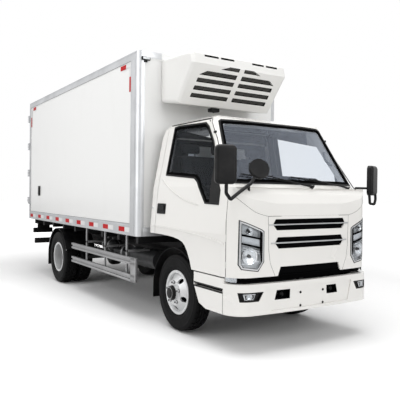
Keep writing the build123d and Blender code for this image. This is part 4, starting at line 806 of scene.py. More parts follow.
def block(low, high, bevel=0.0, segments=2):
    """A box between two corners with rounded edges."""
    shape = bmesh.new()
    low, high = Vector(low), Vector(high)
    size = high - low
    turn = Matrix.Translation((low + high) / 2) @ Matrix.Diagonal((size.x, size.y, size.z, 1.0))
    bmesh.ops.create_cube(shape, size=1.0, matrix=turn)
    if bevel:
        bmesh.ops.bevel(shape, geom=list(shape.edges), offset=bevel, segments=segments, profile=0.5,
                        affect="EDGES", material=-1)
    return shape


def side_block(side, x_ends, y_ends, z_ends, bevel=0.0, segments=2):
    """A block on one side of the truck, between ends that are given for the left."""
    low_y, high_y = sorted(side * y for y in y_ends)
    return block((x_ends[0], low_y, z_ends[0]), (x_ends[1], high_y, z_ends[1]), bevel, segments)


def rod(start, end, radius, segments=16, radius_end=None, bevel=0.0):
    """A round bar between two points."""
    start, end = Vector(start), Vector(end)
    length = (end - start).length
    shape = bmesh.new()
    turn = Matrix.Translation((start + end) / 2) @ (end - start).to_track_quat("Z", "Y").to_matrix().to_4x4()
    bmesh.ops.create_cone(shape, cap_ends=True, segments=segments, radius1=radius,
                          radius2=radius if radius_end is None else radius_end, depth=length, matrix=turn)
    if bevel:
        rims = [edge for edge in shape.edges if len(edge.link_faces) == 2
                and max(len(face.verts) for face in edge.link_faces) > 4]
        bmesh.ops.bevel(shape, geom=rims, offset=bevel, segments=2, profile=0.5, affect="EDGES", material=-1)
    return shape


def turned(profile, centre, axis, segments=64):
    """A turned shape. Each row is a distance along the axis and a radius; rows end on the axis or close up."""
    shape = bmesh.new()
    axis = Vector(axis).normalized()
    across = axis.orthogonal().normalized()
    centre = Vector(centre)
    verts = [shape.verts.new(centre + axis * along + across * radius) for along, radius in profile]
    for first, second in zip(verts, verts[1:]):
        shape.edges.new((first, second))
    bmesh.ops.spin(shape, geom=list(shape.verts) + list(shape.edges), cent=centre, axis=axis,
                   angle=2 * math.pi, steps=segments, use_merge=True)
    bmesh.ops.remove_doubles(shape, verts=shape.verts, dist=1e-5)
    return shape


def bent_bar(points, radius, segments=12, rounds=3):
    """A bar along a path of points, with rounded bends."""
    curve = bpy.data.curves.new("path", "CURVE")
    curve.dimensions = "3D"
    spline = curve.splines.new("NURBS")
    spline.points.add(len(points) - 1)
    for point, place in zip(spline.points, points):
        point.co = (*place, 1.0)
    spline.order_u = 3
    spline.use_endpoint_u = True
    spline.resolution_u = rounds * 2
    curve.bevel_depth = radius
    curve.bevel_resolution = max(1, segments // 4 - 1)
    curve.use_fill_caps = True
    holder = bpy.data.objects.new("path", curve)
    mesh = bpy.data.meshes.new_from_object(holder)
    shape = bmesh.new()
    shape.from_mesh(mesh)
    bpy.data.objects.remove(holder)
    bpy.data.curves.remove(curve)
    bpy.data.meshes.remove(mesh)
    bmesh.ops.remove_doubles(shape, verts=shape.verts, dist=1e-6)
    return shape


print("blocks, rods and bars ready")

# %% [markdown]
# The windows. The real glass sits in black rubber, and the glass has a black printed border inside it. A ring is
# drawn round each opening, a little over the paint and a little over the glass, so it hides the step between
# them as the real lip does.

# %% Window rubbers
screen_outline = [(-0.771, 1.473), (0.771, 1.473), (0.656, 2.066), (0.624, 2.084), (-0.624, 2.084),
                  (-0.656, 2.066)]
side_window = [(1.6495, 1.562), (2.2155, 1.521), (2.277, 1.486), (2.448, 1.287), (2.6735, 1.281),
               (2.6805, 1.413), (2.448, 1.864), (2.3165, 2.021), (2.248, 2.066), (1.7435, 2.082),
               (1.6495, 2.072)]
# the black corner panel ahead of the sliding glass, and the guide bar between them
corner_outline = [(2.4485, 1.3), (2.66, 1.296), (2.665, 1.41), (2.52, 1.69), (2.506, 1.69),
                  (2.506, 1.3)]
seal_width = 0.016
screen_seal = plate(screen_outline, screen_face, -0.012, 0.016, 0.05, ring=seal_width)
piece("screen_seal", screen_seal, seal_rubber, "cab")
border_outline = [(u * 0.985, v + 0.008 if v < 1.7 else v - 0.008) for u, v in screen_outline]
screen_border = plate(border_outline, screen_face, -0.0085, 0.0006, 0.05, ring=0.034)
piece("screen_border", screen_border, black_and_painted_shade, "cab")

for side, hand in hands:
    body, surface = "cab_door_%s_body" % hand, cab_side(side)
    window_seal = plate(side_window, surface, -0.01, 0.0135, 0.06, ring=seal_width)
    piece("door_window_seal_" + hand, window_seal, seal_rubber, body)
    window_border = plate(side_window, surface, -0.0078, 0.0006, 0.06, ring=0.042)
    piece("door_window_border_" + hand, window_border, black_and_painted_shade, body)
    corner_panel = plate(corner_outline, surface, -0.0075, 0.003, 0.06)
    piece("door_corner_panel_" + hand, corner_panel, black_plastic, body)

# %% [markdown]
# Door furniture: a black pull handle in a dished plate, and a key barrel in the pillar behind it.

# %% Door handles
handle_dish = [(1.5625, 1.165), (1.7255, 1.165), (1.7305, 1.172), (1.7305, 1.262), (1.7225, 1.272),
               (1.5705, 1.272), (1.5575, 1.262), (1.5575, 1.175)]
handle_flap = rect(1.575, 1.715, 1.2, 1.258)
key_x, key_z = 1.4585, 1.222
key_rows = [(0.0, 0.0), (0.0, 0.013), (0.007, 0.013), (0.008, 0.011), (0.0075, 0.004), (0.005, 0.003),
            (0.005, 0.0)]
for side, hand in hands:
    surface = cab_side(side)
    dish = soften(plate(handle_dish, surface, -0.002, 0.008, 0.03), 0.003)
    flap = soften(plate(handle_flap, surface, 0.004, 0.012, 0.03), 0.005, 3)
    piece("door_handle_" + hand, join(dish, flap), black_plastic, "cab_door_%s_body" % hand)
    barrel = turned(key_rows, surface(key_x, key_z, -0.002), (0, side, 0), 24)
    piece("key_barrel_" + hand, barrel, chrome, "cab")

# %% [markdown]
# The wipers. Each has a pivot boss in the panel, a tapered arm and a blade with a rubber lip that lies on the
# glass. The arms park towards the passenger's side.

# %% Wipers
wiper_table = (  # y and z of the pivot, the arm's tip, the blade's inner end and its outer end
    (0.085, 1.452, -0.375, 1.545, -0.13, 1.495, -0.64, 1.56),
    (0.655, 1.446, 0.15, 1.525, 0.36, 1.492, -0.12, 1.545),
)
blade_steps = 10
for number, (pivot_y, pivot_z, tip_y, tip_z, in_y, in_z, out_y, out_z) in enumerate(wiper_table, 1):
    foot = Vector((screen_face(pivot_y, pivot_z).x + 0.004, pivot_y, pivot_z - 0.012))
    head = foot + Vector((0.03, 0, 0.016))
    boss = rod(foot - Vector((0.02, 0, 0.012)), head, 0.017, 20, 0.013, 0.003)
    nut = rod(head, head + Vector((0.012, 0, 0.008)), 0.01, 6)
    knee = screen_face(pivot_y - 0.12, pivot_z + 0.022, 0.034)
    tip = screen_face(tip_y, tip_z, 0.022)
    arm_one = rod(head - Vector((0.004, 0, 0)), knee, 0.011, 8, 0.009)
    arm_two = rod(knee, tip, 0.008, 8, 0.0045)
    blade_path = [screen_face(in_y + (out_y - in_y) * share, in_z + (out_z - in_z) * share, 0.011)
                  for share in [step / blade_steps for step in range(blade_steps + 1)]]
    blade = bent_bar(blade_path, 0.0055, 8, 1)
    rubber = bent_bar([point - Vector((0.007, 0, 0.004)) for point in blade_path], 0.0035, 8, 1)
    bridge = rod(tip - Vector((0.0, 0.05, 0.0)), tip + Vector((0.0, 0.05, 0.0)), 0.007, 8, 0.004)
    piece("wiper_%d" % number, join(boss, nut, arm_one, arm_two, blade, rubber, bridge), black_plastic, "cab")

# %% [markdown]
# The front openings. Behind each slot is a dark mesh, and along each slot's middle runs a grey bar whose left
# and right ends reach past the opening onto the paint. The lower intake has the same mesh.

# %% Grille mesh and bars
slot_rows = (  # middle height, half height, half width at the edges, half width at the point
    (1.115, 0.049, 0.417, 0.452),
    (0.955, 0.05, 0.394, 0.43),
)
wire_pitch, wire_lift, wire_radius = 0.031, -0.016, 0.0022
bar_half, bar_past = 0.006, 0.042
mesh_parts = []
for middle, half, edge_y, point_y in slot_rows:
    outline = [(-edge_y, middle + half), (-point_y, middle), (-edge_y, middle - half), (edge_y, middle - half),
               (point_y, middle), (edge_y, middle + half)]
    grown = [(y * 1.008, middle + (z - middle) * 1.06) for y, z in outline]
    lip = plate(grown, cab_face, -0.016, 0.011, 0.06, ring=0.007)
    piece("slot_lip_%d" % round(middle * 1000), lip, black_and_painted_shade, "cab")
    reach = half - 0.004
    for y in [step * wire_pitch for step in range(-13, 14)]:
        mesh_parts.append(rod(cab_face(y, middle - reach, wire_lift), cab_face(y, middle + reach, wire_lift),
                              wire_radius, 6))
    for row in (-0.75, -0.45, -0.15, 0.15, 0.45, 0.75):
        wire = [cab_face(y, middle + row * half, -0.017) for y in (-0.41, -0.2, 0.0, 0.2, 0.41)]
        mesh_parts.append(bent_bar(wire, wire_radius, 6, 3))
    bar_outline = rect(-point_y - bar_past, point_y + bar_past, middle - bar_half, middle + bar_half)
    bar = soften(plate(bar_outline, cab_face, -0.003, 0.01, 0.05), 0.003)
    piece("slot_bar_%d" % round(middle * 1000), bar, lamp_housing, "cab")
for y in [step * wire_pitch for step in range(-11, 12)]:
    mesh_parts.append(rod(cab_face(y, 0.668, wire_lift), cab_face(y, 0.742, wire_lift), wire_radius, 6))
for z in (0.68, 0.7, 0.72, 0.74):
    wire = [cab_face(y, z, -0.017) for y in (-0.365, -0.2, 0.0, 0.2, 0.365)]
    mesh_parts.append(bent_bar(wire, 0.0025, 6, 3))
piece("grille_mesh", join(*mesh_parts), black_and_painted_shade, "cab")


# %% [markdown]
# The headlamps. Each is a tall lamp in a flat silver rim with a dark shut line round it. Black bars part it into
# a signal lamp, a light bar and a faceted bowl, and a clear cover lies over all. The solid already has the three
# pockets, so the insides only have to fill them.

# %% Headlamps
lamp_outline = [(0.544, 1.06), (0.544, 0.796), (0.605, 0.714), (0.762, 0.737), (0.786, 0.779), (0.782, 1.161),
                (0.57, 1.078)]
bar_pocket = [(0.587, 0.93), (0.762, 0.969), (0.762, 1.025), (0.59, 0.99)]
divider_outlines = (
    [(0.57, 1.05), (0.57, 0.8), (0.576, 0.8), (0.5885, 0.905), (0.5885, 1.066), (0.578, 1.062)],
    [(0.588, 0.99), (0.764, 1.026), (0.764, 1.042), (0.588, 1.006)],
    [(0.588, 0.912), (0.764, 0.952), (0.764, 0.968), (0.588, 0.928)],
)
ledge_rows = ((0.884, 0.037), (0.867, 0.037), (0.8, -0.02))  # height at the inner end, rise to the outer


def bowl(centre, axis, radius, depth, segments=14):
    """A reflector: a parabola that opens along its axis, with a rolled lip and a closed back."""
    rows = [(-0.003, 0.0), (-0.003, radius * 1.03), (depth, radius * 1.03), (depth, radius)]
    rows += [(depth * step * step / 25.0, radius * step / 5.0) for step in (4, 3, 2, 1)]
    rows.append((0.0, 0.0))
    return turned(rows, centre, axis, segments)


for side, hand in hands:
    outline = handed(lamp_outline, side)
    shut_line = ring_plate(outline, 0.0, 0.006, cab_face, -0.001, 0.0022)
    piece("headlamp_shut_line_" + hand, shut_line, black_and_painted_shade, "cab")
    rim = ring_plate(outline, 0.0075, 0.012, cab_face, -0.001, 0.0045)
    piece("headlamp_rim_" + hand, soften(rim, 0.0012, 1), lamp_silver, "cab")
    inner_line = ring_plate(outline, 0.0205, 0.0035, cab_face, -0.001, 0.0025)
    dividers = [plate(handed(points, side), cab_face, -0.001, 0.0042, 0.02) for points in divider_outlines]
    piece("headlamp_bars_" + hand, join(inner_line, *dividers), black_and_painted_shade, "cab")
    # the light bar, the signal lamp and the hoods over both bulbs
    light_bar = plate(handed(bar_pocket, side), cab_face, -0.018, 0.01, 0.02)
    piece("headlamp_light_bar_" + hand, soften(light_bar, 0.003), white_lens, "cab")
    signal_ribs = [plate(handed([(0.592, z), (0.76, z + 0.034), (0.76, z + 0.04), (0.592, z + 0.006)], side),
                         cab_face, -0.023, 0.012, 0.03) for z in (1.016, 1.03)]
    signal_mid = cab_face(side * 0.69, 1.06, -0.021)
    lamp_axis = Vector((0.975, side * 0.22, 0.0))
    signal_bowl = bowl(signal_mid, lamp_axis, 0.034, 0.014, 20)
    piece("headlamp_signal_" + hand, join(signal_bowl, *signal_ribs), chrome, "cab")
    hood = rod(signal_mid, signal_mid + lamp_axis * 0.016, 0.013, 20, 0.01, 0.002)
    low_mid = cab_face(side * 0.683, 0.85, -0.021)
    low_hood = rod(low_mid, low_mid + lamp_axis * 0.017, 0.014, 20, 0.012, 0.002)
    piece("headlamp_hoods_" + hand, join(hood, low_hood), black_and_painted_shade, "cab")
    # the bowl: facets, with ledges above and below the lamp and teeth along the upper one
    main_bowl = bowl(low_mid, lamp_axis, 0.07, 0.015, 14)
    ledges = []
    for z, rise in ledge_rows:
        ledge = [(0.59, z), (0.757, z + rise), (0.757, z + rise + 0.008), (0.59, z + 0.008)]
        ledges.append(plate(handed(ledge, side), cab_face, -0.022, 0.017, 0.02))
    teeth = [rod(cab_face(side * y, 0.893 + 0.21 * (y - 0.59), -0.02),
                 cab_face(side * y, 0.905 + 0.21 * (y - 0.59), -0.006), 0.0045, 6)
             for y in (0.6, 0.62, 0.64, 0.66, 0.68, 0.7, 0.72, 0.74)]
    piece("headlamp_reflector_" + hand, join(main_bowl, *ledges, *teeth), chrome, "cab", smooth=False)
    cover = cut_cells(inner_outline(flat_outline(outline), 0.019), 0.02)
    piece("headlamp_cover_" + hand, wrap(cover, cab_face, 0.0005, 0.0018), lamp_cover, "cab")

# %% [markdown]
# Fog lamps sit in trapezoid windows of the bumper: a black surround, and a silver cup with a reflector behind
# a clear glass.

# %% Fog lamps
fog_window = [(0.612, 0.464), (0.785, 0.464), (0.8, 0.545), (0.562, 0.545)]
fog_lens = [(0.664, 0.478), (0.745, 0.478), (0.757, 0.532), (0.64, 0.532)]
for side, hand in hands:
    lip = ring_plate(handed(fog_window, side), 0.0, 0.01, bumper_face, -0.016, 0.012, 0.03)
    piece("fog_lamp_lip_" + hand, soften(lip, 0.0025), black_plastic, "chassis")
    lens_outline = handed(fog_lens, side)
    cup = ring_plate(lens_outline, 0.0, 0.008, bumper_face, -0.02, 0.012, 0.02)
    fog_bowl = bowl(bumper_face(side * 0.7, 0.505, -0.019), (0.95, side * 0.31, 0.0), 0.026, 0.008, 20)
    piece("fog_lamp_reflector_" + hand, join(soften(cup, 0.002), fog_bowl), lamp_silver, "chassis")
    glass = plate(lens_outline, bumper_face, -0.0105, 0.003, 0.02)
    piece("fog_lamp_glass_" + hand, glass, lamp_cover, "chassis")

# %% [markdown]
# Behind two windows in the bumper sit the tow eyes, each a ring on a short boss. A dark box closes each window,
# so no light comes through: it is painted shade for the dark space behind the bumper.

# %% Tow windows and eyes
tow_windows = ([(-0.439, 0.461), (-0.267, 0.461), (-0.265, 0.545), (-0.416, 0.545)],
               [(0.192, 0.461), (0.337, 0.461), (0.316, 0.541), (0.183, 0.541)])
tow_z = 0.503
tow_shade = []
for points in tow_windows:
    middle = sum(y for y, z in points) / 4
    grown = [(middle + (y - middle) * 1.2, tow_z + (z - tow_z) * 1.3) for y, z in points]
    # the near-black box behind each window is painted shade
    tow_shade.append(plate(grown, bumper_face, -0.062, 0.005, 0.05))
    tow_shade.append(ring_plate(points, 0.0, 0.005, bumper_face, -0.055, 0.0415, 0.05))
piece("tow_window_shade", join(*tow_shade), black_and_painted_shade, "chassis")
eyes = []
for middle in (-0.345, 0.257):
    foot = bumper_face(middle, tow_z, -0.056)
    eyes.append(rod(foot, foot + Vector((0.018, 0, 0)), 0.016, 20, 0.014, 0.002))
    loop = [foot + Vector((0.018 + 0.02 * math.sin(a), 0, 0.02 * math.cos(a))) for a in
            (0.0, 0.8, 1.6, 2.4, math.pi)]
    eyes.append(bent_bar(loop, 0.006, 8, 3))
piece("tow_eyes", join(*eyes), frame_black, "chassis")

# %% [markdown]
# Between the bumper and the cab runs a black band with a small lamp at each corner. The band is black plastic,
# and it also closes the gap behind it with painted shade.

# %% Band over the bumper
valance_outline = [(-0.8, 0.64), (-0.785, 0.623), (0.785, 0.623), (0.8, 0.64), (0.8, 0.672),
                   (-0.8, 0.672)]
# the band and its deep lower lip: black plastic, and painted shade for the gap behind
valance = plate(valance_outline, cab_face, -0.05, 0.012, 0.04)
lower_lip = plate(rect(-0.79, 0.79, 0.6655, 0.6735), cab_face, -0.05, 0.046, 0.04)
piece("front_valance", join(soften(valance, 0.004), lower_lip), black_and_painted_shade, "cab")
corner_lamp = [(0.786, 0.626), (0.82, 0.626), (0.842, 0.632), (0.842, 0.664), (0.786, 0.664)]
for side, hand in hands:
    outline = handed(corner_lamp, side)
    piece("corner_lamp_back_" + hand, plate(outline, cab_face, -0.022, 0.012, 0.008), lamp_silver, "cab")
    piece("corner_lamp_lens_" + hand, plate(outline, cab_face, -0.009, 0.005, 0.008), lamp_cover, "cab")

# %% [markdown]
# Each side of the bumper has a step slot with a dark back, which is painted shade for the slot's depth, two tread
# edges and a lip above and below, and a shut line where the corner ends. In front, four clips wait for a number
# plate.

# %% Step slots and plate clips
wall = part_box("bumper")[1][1]  # how far out the bumper's side reaches
for side, hand in hands:
    # the slot's near-black back is painted shade
    back = side_block(side, (2.318, 2.785), (0.79, 0.8035), (0.52, 0.572))
    low_y, high_y = sorted((side * 0.803, side * 0.838))
    treads = [block((2.334, low_y, z), (2.771, high_y - cut, z + 0.003), 0.001, 1)
              for z, cut in ((0.5345, 0.0), (0.5395, 0.003))]
    piece("step_slot_" + hand, join(back, *treads), black_and_painted_shade, "chassis")
    lips = [side_block(side, (2.322, 2.779), (wall - 0.005, wall + 0.0015), (z, z + 0.013), 0.001, 1)
            for z in (0.5215, 0.5535)]
    piece("step_slot_lips_" + hand, join(*lips), black_plastic, "chassis")
    shut = side_block(side, (2.7805, 2.7835), (wall - 0.004, wall + 0.0008), (0.34, 0.5665))
    piece("bumper_side_seam_" + hand, shut, seal_rubber, "chassis")

clips = []
for y in (-0.141, 0.141):
    for z in (0.386, 0.504):
        clips.append(rod((2.98, y, z), (2.986, y, z), 0.0125, 20, 0.01, 0.002))
        clips.append(rod((2.986, y, z), (2.989, y, z), 0.0065, 6))
piece("plate_clips", join(*clips), black_plastic, "chassis")


# %% [markdown]
# The tyres. The solid is a plain ring, so a full tyre takes its place: a tread with four grooves, blocks on the
# shoulders, a bulged wall with raised bands, and a bead that grips the rim. One half section is spun round the
# axle, then every few steps of the shoulder ribs are pushed in to make the cross grooves.

# %% Tyres
axle_height = 0.3875
front_axle_x, rear_axle_x = 1.9125, -1.4475
front_wheel_y, rear_outer_y, rear_inner_y = 0.72, 0.845, 0.611  # the wheels' middle planes
# half section from the crown out to the bead: distance from the middle plane, radius
tyre_half = [
    (0.0, 0.387), (0.01, 0.3868), (0.0115, 0.3785), (0.0175, 0.3785), (0.019, 0.3864), (0.042, 0.3852),
    (0.0435, 0.3765), (0.051, 0.3765), (0.0525, 0.3842), (0.07, 0.3815), (0.0815, 0.3765), (0.087, 0.369),
    (0.0905, 0.359), (0.0935, 0.348), (0.0958, 0.347), (0.0966, 0.344), (0.0956, 0.3415), (0.0982, 0.322),
    (0.0996, 0.304), (0.099, 0.286), (0.097, 0.27), (0.0985, 0.269), (0.0985, 0.2655), (0.096, 0.264),
    (0.0915, 0.25), (0.086, 0.239), (0.08, 0.231), (0.0745, 0.2235), (0.072, 0.208), (0.06, 0.2045),
]
tread_steps = 132
# cross grooves: their least radius, their nearest and farthest place off the middle, and their turn out of four
cross_grooves = ((0.372, 0.053, 0.083, 0), (0.384, 0.019, 0.043, 1))
cross_groove_depth = 0.0075


def tyre(middle_y, axle_x):
    """One tyre about an axle."""
    section = [(-y, radius) for y, radius in reversed(tyre_half[1:])] + tyre_half
    shape = bmesh.new()
    verts = [shape.verts.new((axle_x, middle_y + y, axle_height + radius)) for y, radius in section]
    for first, second in zip(verts, verts[1:] + verts[:1]):
        shape.edges.new((first, second))
    bmesh.ops.spin(shape, geom=list(shape.verts) + list(shape.edges), cent=(axle_x, middle_y, axle_height),
                   axis=(0, 1, 0), angle=2 * math.pi, steps=tread_steps, use_merge=True)
    bmesh.ops.remove_doubles(shape, verts=shape.verts, dist=1e-5)
    bmesh.ops.recalc_face_normals(shape, faces=shape.faces)
    pushed = []
    for face in shape.faces:
        middle = face.calc_center_median()
        off = abs(middle.y - middle_y)
        out = math.hypot(middle.x - axle_x, middle.z - axle_height)
        angle = math.atan2(middle.z - axle_height, middle.x - axle_x)
        # the grooves of the tyre's two sides are half a pitch apart
        step = int((angle / (2 * math.pi) + 1.0) * tread_steps) + (2 if middle.y > middle_y else 0)
        if any(out > least and near < off < far and step % 4 == turn
               for least, near, far, turn in cross_grooves):
            pushed.append(face)
    made = bmesh.ops.extrude_face_region(shape, geom=pushed)
    bmesh.ops.delete(shape, geom=pushed, context="FACES")
    for item in made["geom"]:
        if isinstance(item, bmesh.types.BMVert):
            spoke = Vector((item.co.x - axle_x, 0.0, item.co.z - axle_height)).normalized()
            item.co -= spoke * cross_groove_depth
    return shape


tyre_table = (  # the node it replaces, body, middle planes on the left, axle
    ("front_tyre_", "front_wheel_%s_body", (front_wheel_y,), front_axle_x),
    ("rear_tyres_", "rear_wheels_%s_body", (rear_outer_y, rear_inner_y), rear_axle_x),
)
for node_start, body, planes, axle_x in tyre_table:
    for side, hand in hands:
        tyres = join(*[tyre(side * plane_y, axle_x) for plane_y in planes])
        made_tyre = piece("treaded_" + node_start + hand, tyres, tyre_rubber, body % hand)
        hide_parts(node_start + hand)

# %% [markdown]
# Wheel details. The pressed disc is a solid already. It gets its nuts with washers, a dark hub, a valve, a
# rolled bright lip, and a dark cone close behind the hand holes, painted shade that stands in for the dark space
# behind them, so that no light shows through them. The front disc bulges out and the rear one is dished in, so
# the same pieces take two sets of places.

# %% Wheel details
stud_count, stud_circle_radius = 5, 0.104
hub_screws, hub_screw_radius = 6, 0.0655
washer_rows = [(-0.001, 0.0), (-0.001, 0.0185), (0.003, 0.0185), (0.0045, 0.0165), (0.0045, 0.0)]
rim_lip_off = 0.0815
# what differs between a front and a rear wheel; y is given for the left
front_fit = {"body": "front_wheel_%s_body", "axle": front_axle_x, "plane": front_wheel_y, "disc": 0.837,
             "hub": 0.837, "hub_long": 0.052, "cone": 1,
             "valve": ((0.168, 0.795, -0.07), (-0.003, 0.01, 0.0), (-0.018, 0.03, 0.008))}
rear_fit = {"body": "rear_wheels_%s_body", "axle": rear_axle_x, "plane": rear_outer_y, "disc": 0.74,
            "hub": 0.728, "hub_long": 0.092, "cone": -1,
            "valve": ((0.165, 0.775, -0.06), (-0.004, 0.018, 0.002), (-0.016, 0.052, 0.008))}


def ring_of(count, radius, start, centre_y, axle_x):
    """Places round a wheel's axle."""
    angles = [start + 2 * math.pi * step / count for step in range(count)]
    return [Vector((axle_x + radius * math.cos(a), centre_y, axle_height + radius * math.sin(a)))
            for a in angles]


def wheel_details(name, side, hand, fit):
    """The small pieces of one wheel, or of a rear pair's outer wheel."""
    body, axle_x = fit["body"] % hand, fit["axle"]
    out = Vector((0, side, 0))
    bolts = []
    for foot in ring_of(stud_count, stud_circle_radius, math.pi / 2, side * fit["disc"], axle_x):
        bolts.append(turned(washer_rows, foot, out, 20))
        bolts.append(rod(foot + out * 0.021, foot + out * 0.024, 0.0115, 18, 0.0095))
        bolts.append(rod(foot + out * 0.023, foot + out * 0.03, 0.007, 12, 0.0065, 0.001))
    piece("wheel_studs_" + name, join(*bolts), engine_grey, body)
    # the cone is painted shade: a near-black sheet close behind the hand holes
    cone_rows = ((0.102, 0.115), (0.085, 0.131), (0.036, 0.183), (0.034, 0.1815), (0.083, 0.1295),
                 (0.1, 0.1135), (0.102, 0.115))
    cone = turned([(fit["cone"] * along, radius) for along, radius in cone_rows],
                  (axle_x, side * fit["plane"], axle_height), out, 48)
    piece("hole_shade_" + name, cone, black_and_painted_shade, body)
    # hub: a black cap with a domed middle, ringed by small screws
    hub_y, hub_long = side * fit["hub"], fit["hub_long"]
    cap = turned([(0.016, 0.0), (0.016, 0.0735), (0.021, 0.0735), (0.024, 0.0705), (0.0245, 0.06),
                  (hub_long - 0.008, 0.0585), (hub_long - 0.001, 0.056), (hub_long + 0.002, 0.05),
                  (hub_long + 0.0025, 0.04), (hub_long + 0.006, 0.037), (hub_long + 0.008, 0.018),
                  (hub_long + 0.0085, 0.0)], (axle_x, hub_y, axle_height), out, 40)
    screws = [rod(place + out * 0.024, place + out * 0.031, 0.0048, 6)
              for place in ring_of(hub_screws, hub_screw_radius, 0.4, hub_y, axle_x)]
    piece("hub_cap_" + name, join(cap, *screws), frame_black, body)
    # valve on the outer wheel, bent out of a hand hole
    (root_x, root_y, root_z), *bends = fit["valve"]
    root = Vector((axle_x + root_x, side * root_y, axle_height + root_z))
    stem = [root] + [root + Vector((x, side * y, z)) for x, y, z in bends]
    tip = rod(stem[2], stem[2] + (stem[2] - stem[1]) * 0.35, 0.0055, 10)
    piece("valve_" + name, join(bent_bar(stem, 0.0042, 10, 3), tip), seal_rubber, body)
    # rolled edge of the rim
    lip_y = side * (fit["plane"] + rim_lip_off)
    lip = turned([(-0.0035, 0.212), (0.0015, 0.212), (0.003, 0.215), (0.003, 0.219), (0.001, 0.2212),
                  (-0.0035, 0.2212), (-0.0035, 0.212)], (axle_x, lip_y, axle_height), out, 96)
    piece("rim_lip_" + name, lip, wheel_silver, body)


for end, fit in (("front_", front_fit), ("rear_", rear_fit)):
    for side, hand in hands:
        wheel_details(end + hand, side, hand, fit)

# %% [markdown]
# The cooling unit's louvres. The shell's slots end on a plain inner face, so a dark panel, painted shade for the
# space behind the louvres, closes each slot and thin slats cross it. The slots lie on two raked flats, each a
# surface between an edge below and one above.

# %% Cooling unit openings
unit_middle_y = -0.07
box_front, box_rear = 1.3375, -2.9575
slope_foot, slope_top = Vector((box_front + 0.3525, 0, 2.325)), Vector((box_front + 0.6525, 0, 2.695))
band_top = Vector((box_front + 0.6275, 0, 2.8))


def raked(foot, top):
    """A raked flat between two edges, as a function of y and z, seen from ahead."""
    run = top - foot
    out = Vector((run.z, 0, -run.x)).normalized()

    def surface(y, z, lift=0.0):
        return foot + run * ((z - foot.z) / run.z) + Vector((0, y, 0)) + out * lift
    return surface


unit_slope, unit_band = raked(slope_foot, slope_top), raked(slope_top, band_top)
louvre_table = (  # middle height, half height, outer y at the foot, outer y at the top
    (2.683, 0.015, 0.262, 0.16), (2.618, 0.02, 0.495, 0.415), (2.552, 0.019, 0.5, 0.497),
    (2.481, 0.019, 0.502, 0.499), (2.412, 0.019, 0.504, 0.501),
)
louvre_inner_y = 0.032
louvre_shade, slats = [], []
for middle_z, half, foot_y, top_y in louvre_table:
    for side in (-1, 1):
        outline = [(louvre_inner_y, middle_z - half), (foot_y, middle_z - half), (top_y, middle_z + half),
                   (louvre_inner_y, middle_z + half)]
        corners = [(unit_middle_y + y, z) for y, z in handed(outline, side)]
        # a near-black panel in each slot: painted shade for the space behind the louvres
        louvre_shade.append(plate(corners, unit_slope, -0.0185, 0.004, 0.2))
        louvre_shade.append(ring_plate(corners, 0.0, 0.003, unit_slope, -0.018, 0.0185, 0.2))
        reach = (foot_y + top_y) / 2 - 0.012
        ends = sorted((unit_middle_y + side * (louvre_inner_y + 0.004), unit_middle_y + side * reach))
        for z in (middle_z - 0.45 * half, middle_z + 0.15 * half):
            slats.append(plate(rect(*ends, z - 0.003, z + 0.003), unit_slope, -0.014, 0.009, 0.3))
for low_y, high_y in ((-0.265, -0.095), (-0.47, -0.297), (0.145, 0.305), (0.338, 0.495)):
    corners = rect(unit_middle_y + low_y, unit_middle_y + high_y, 2.772, 2.792)
    louvre_shade.append(plate(corners, unit_band, -0.0185, 0.004, 0.2))
    louvre_shade.append(ring_plate(corners, 0.0, 0.0025, unit_band, -0.018, 0.0182, 0.2))
piece("unit_louvre_shade", join(*louvre_shade), black_and_painted_shade, "chassis")
piece("unit_louvre_slats", join(*slats), louvre_grey, "chassis")

# %% [markdown]
# The box. Its panels, rails and posts are solids already. Small things make it read as a real body: red and
# white reflective tape on the bottom rail and at the corners, and rivets along the rails and posts.

# %% Reflective tape and rivets
box_half, box_low, box_high = 0.972, 0.905, 2.916


def box_side(side):
    """The box's flat side as a function of x and z."""
    def surface(x, z, lift=0.0):
        return Vector((x, side * (box_half + lift), z))
    return surface


def strip(side, x_low, x_high, z_low, z_high, thickness=0.0009):
    """A thin strip stuck on the box's side."""
    shape = flat_outline(rect(x_low, x_high, z_low, z_high))
    if side < 0:
        bmesh.ops.reverse_faces(shape, faces=shape.faces)
    return wrap(shape, box_side(side), -0.0005, thickness + 0.0005)


tape_pitch, tape_first, tape_count = 0.466, -2.864, 9
for side, hand in hands:
    reds, whites = [], []
    for step in range(tape_count):
        x = tape_first + step * tape_pitch
        reds.append(strip(side, x, x + 0.16, 0.94, 0.994))
        whites.append(strip(side, x + 0.16, x + 0.31, 0.94, 0.994))
    # corner marks: white next to the corner, then red, along the top and down the post
    for corner, away in ((box_front - 0.18, -1), (box_rear + 0.1, 1)):
        for tapes, near, far in ((whites, 0.0, 0.13), (reds, 0.13, 0.28)):
            low, high = sorted((corner + away * near, corner + away * far))
            tapes.append(strip(side, low, high, 2.765, 2.815))
        low, high = sorted((corner, corner + away * 0.045))
        whites.append(strip(side, low, high, 2.66, 2.764))
        reds.append(strip(side, low, high, 2.495, 2.66))
    piece("tape_red_" + hand, join(*reds), red_tape, "chassis")
    piece("tape_white_" + hand, join(*whites), white_tape, "chassis")

rivet_radius, rivet_height, rivet_pitch = 0.0042, 0.0018, 0.118
rivets = []


def rivet(place, out):
    """A domed rivet head."""
    top = Vector(place) + Vector(out) * rivet_height
    rivets.append(rod(place, top, rivet_radius, 8, rivet_radius * 0.55))


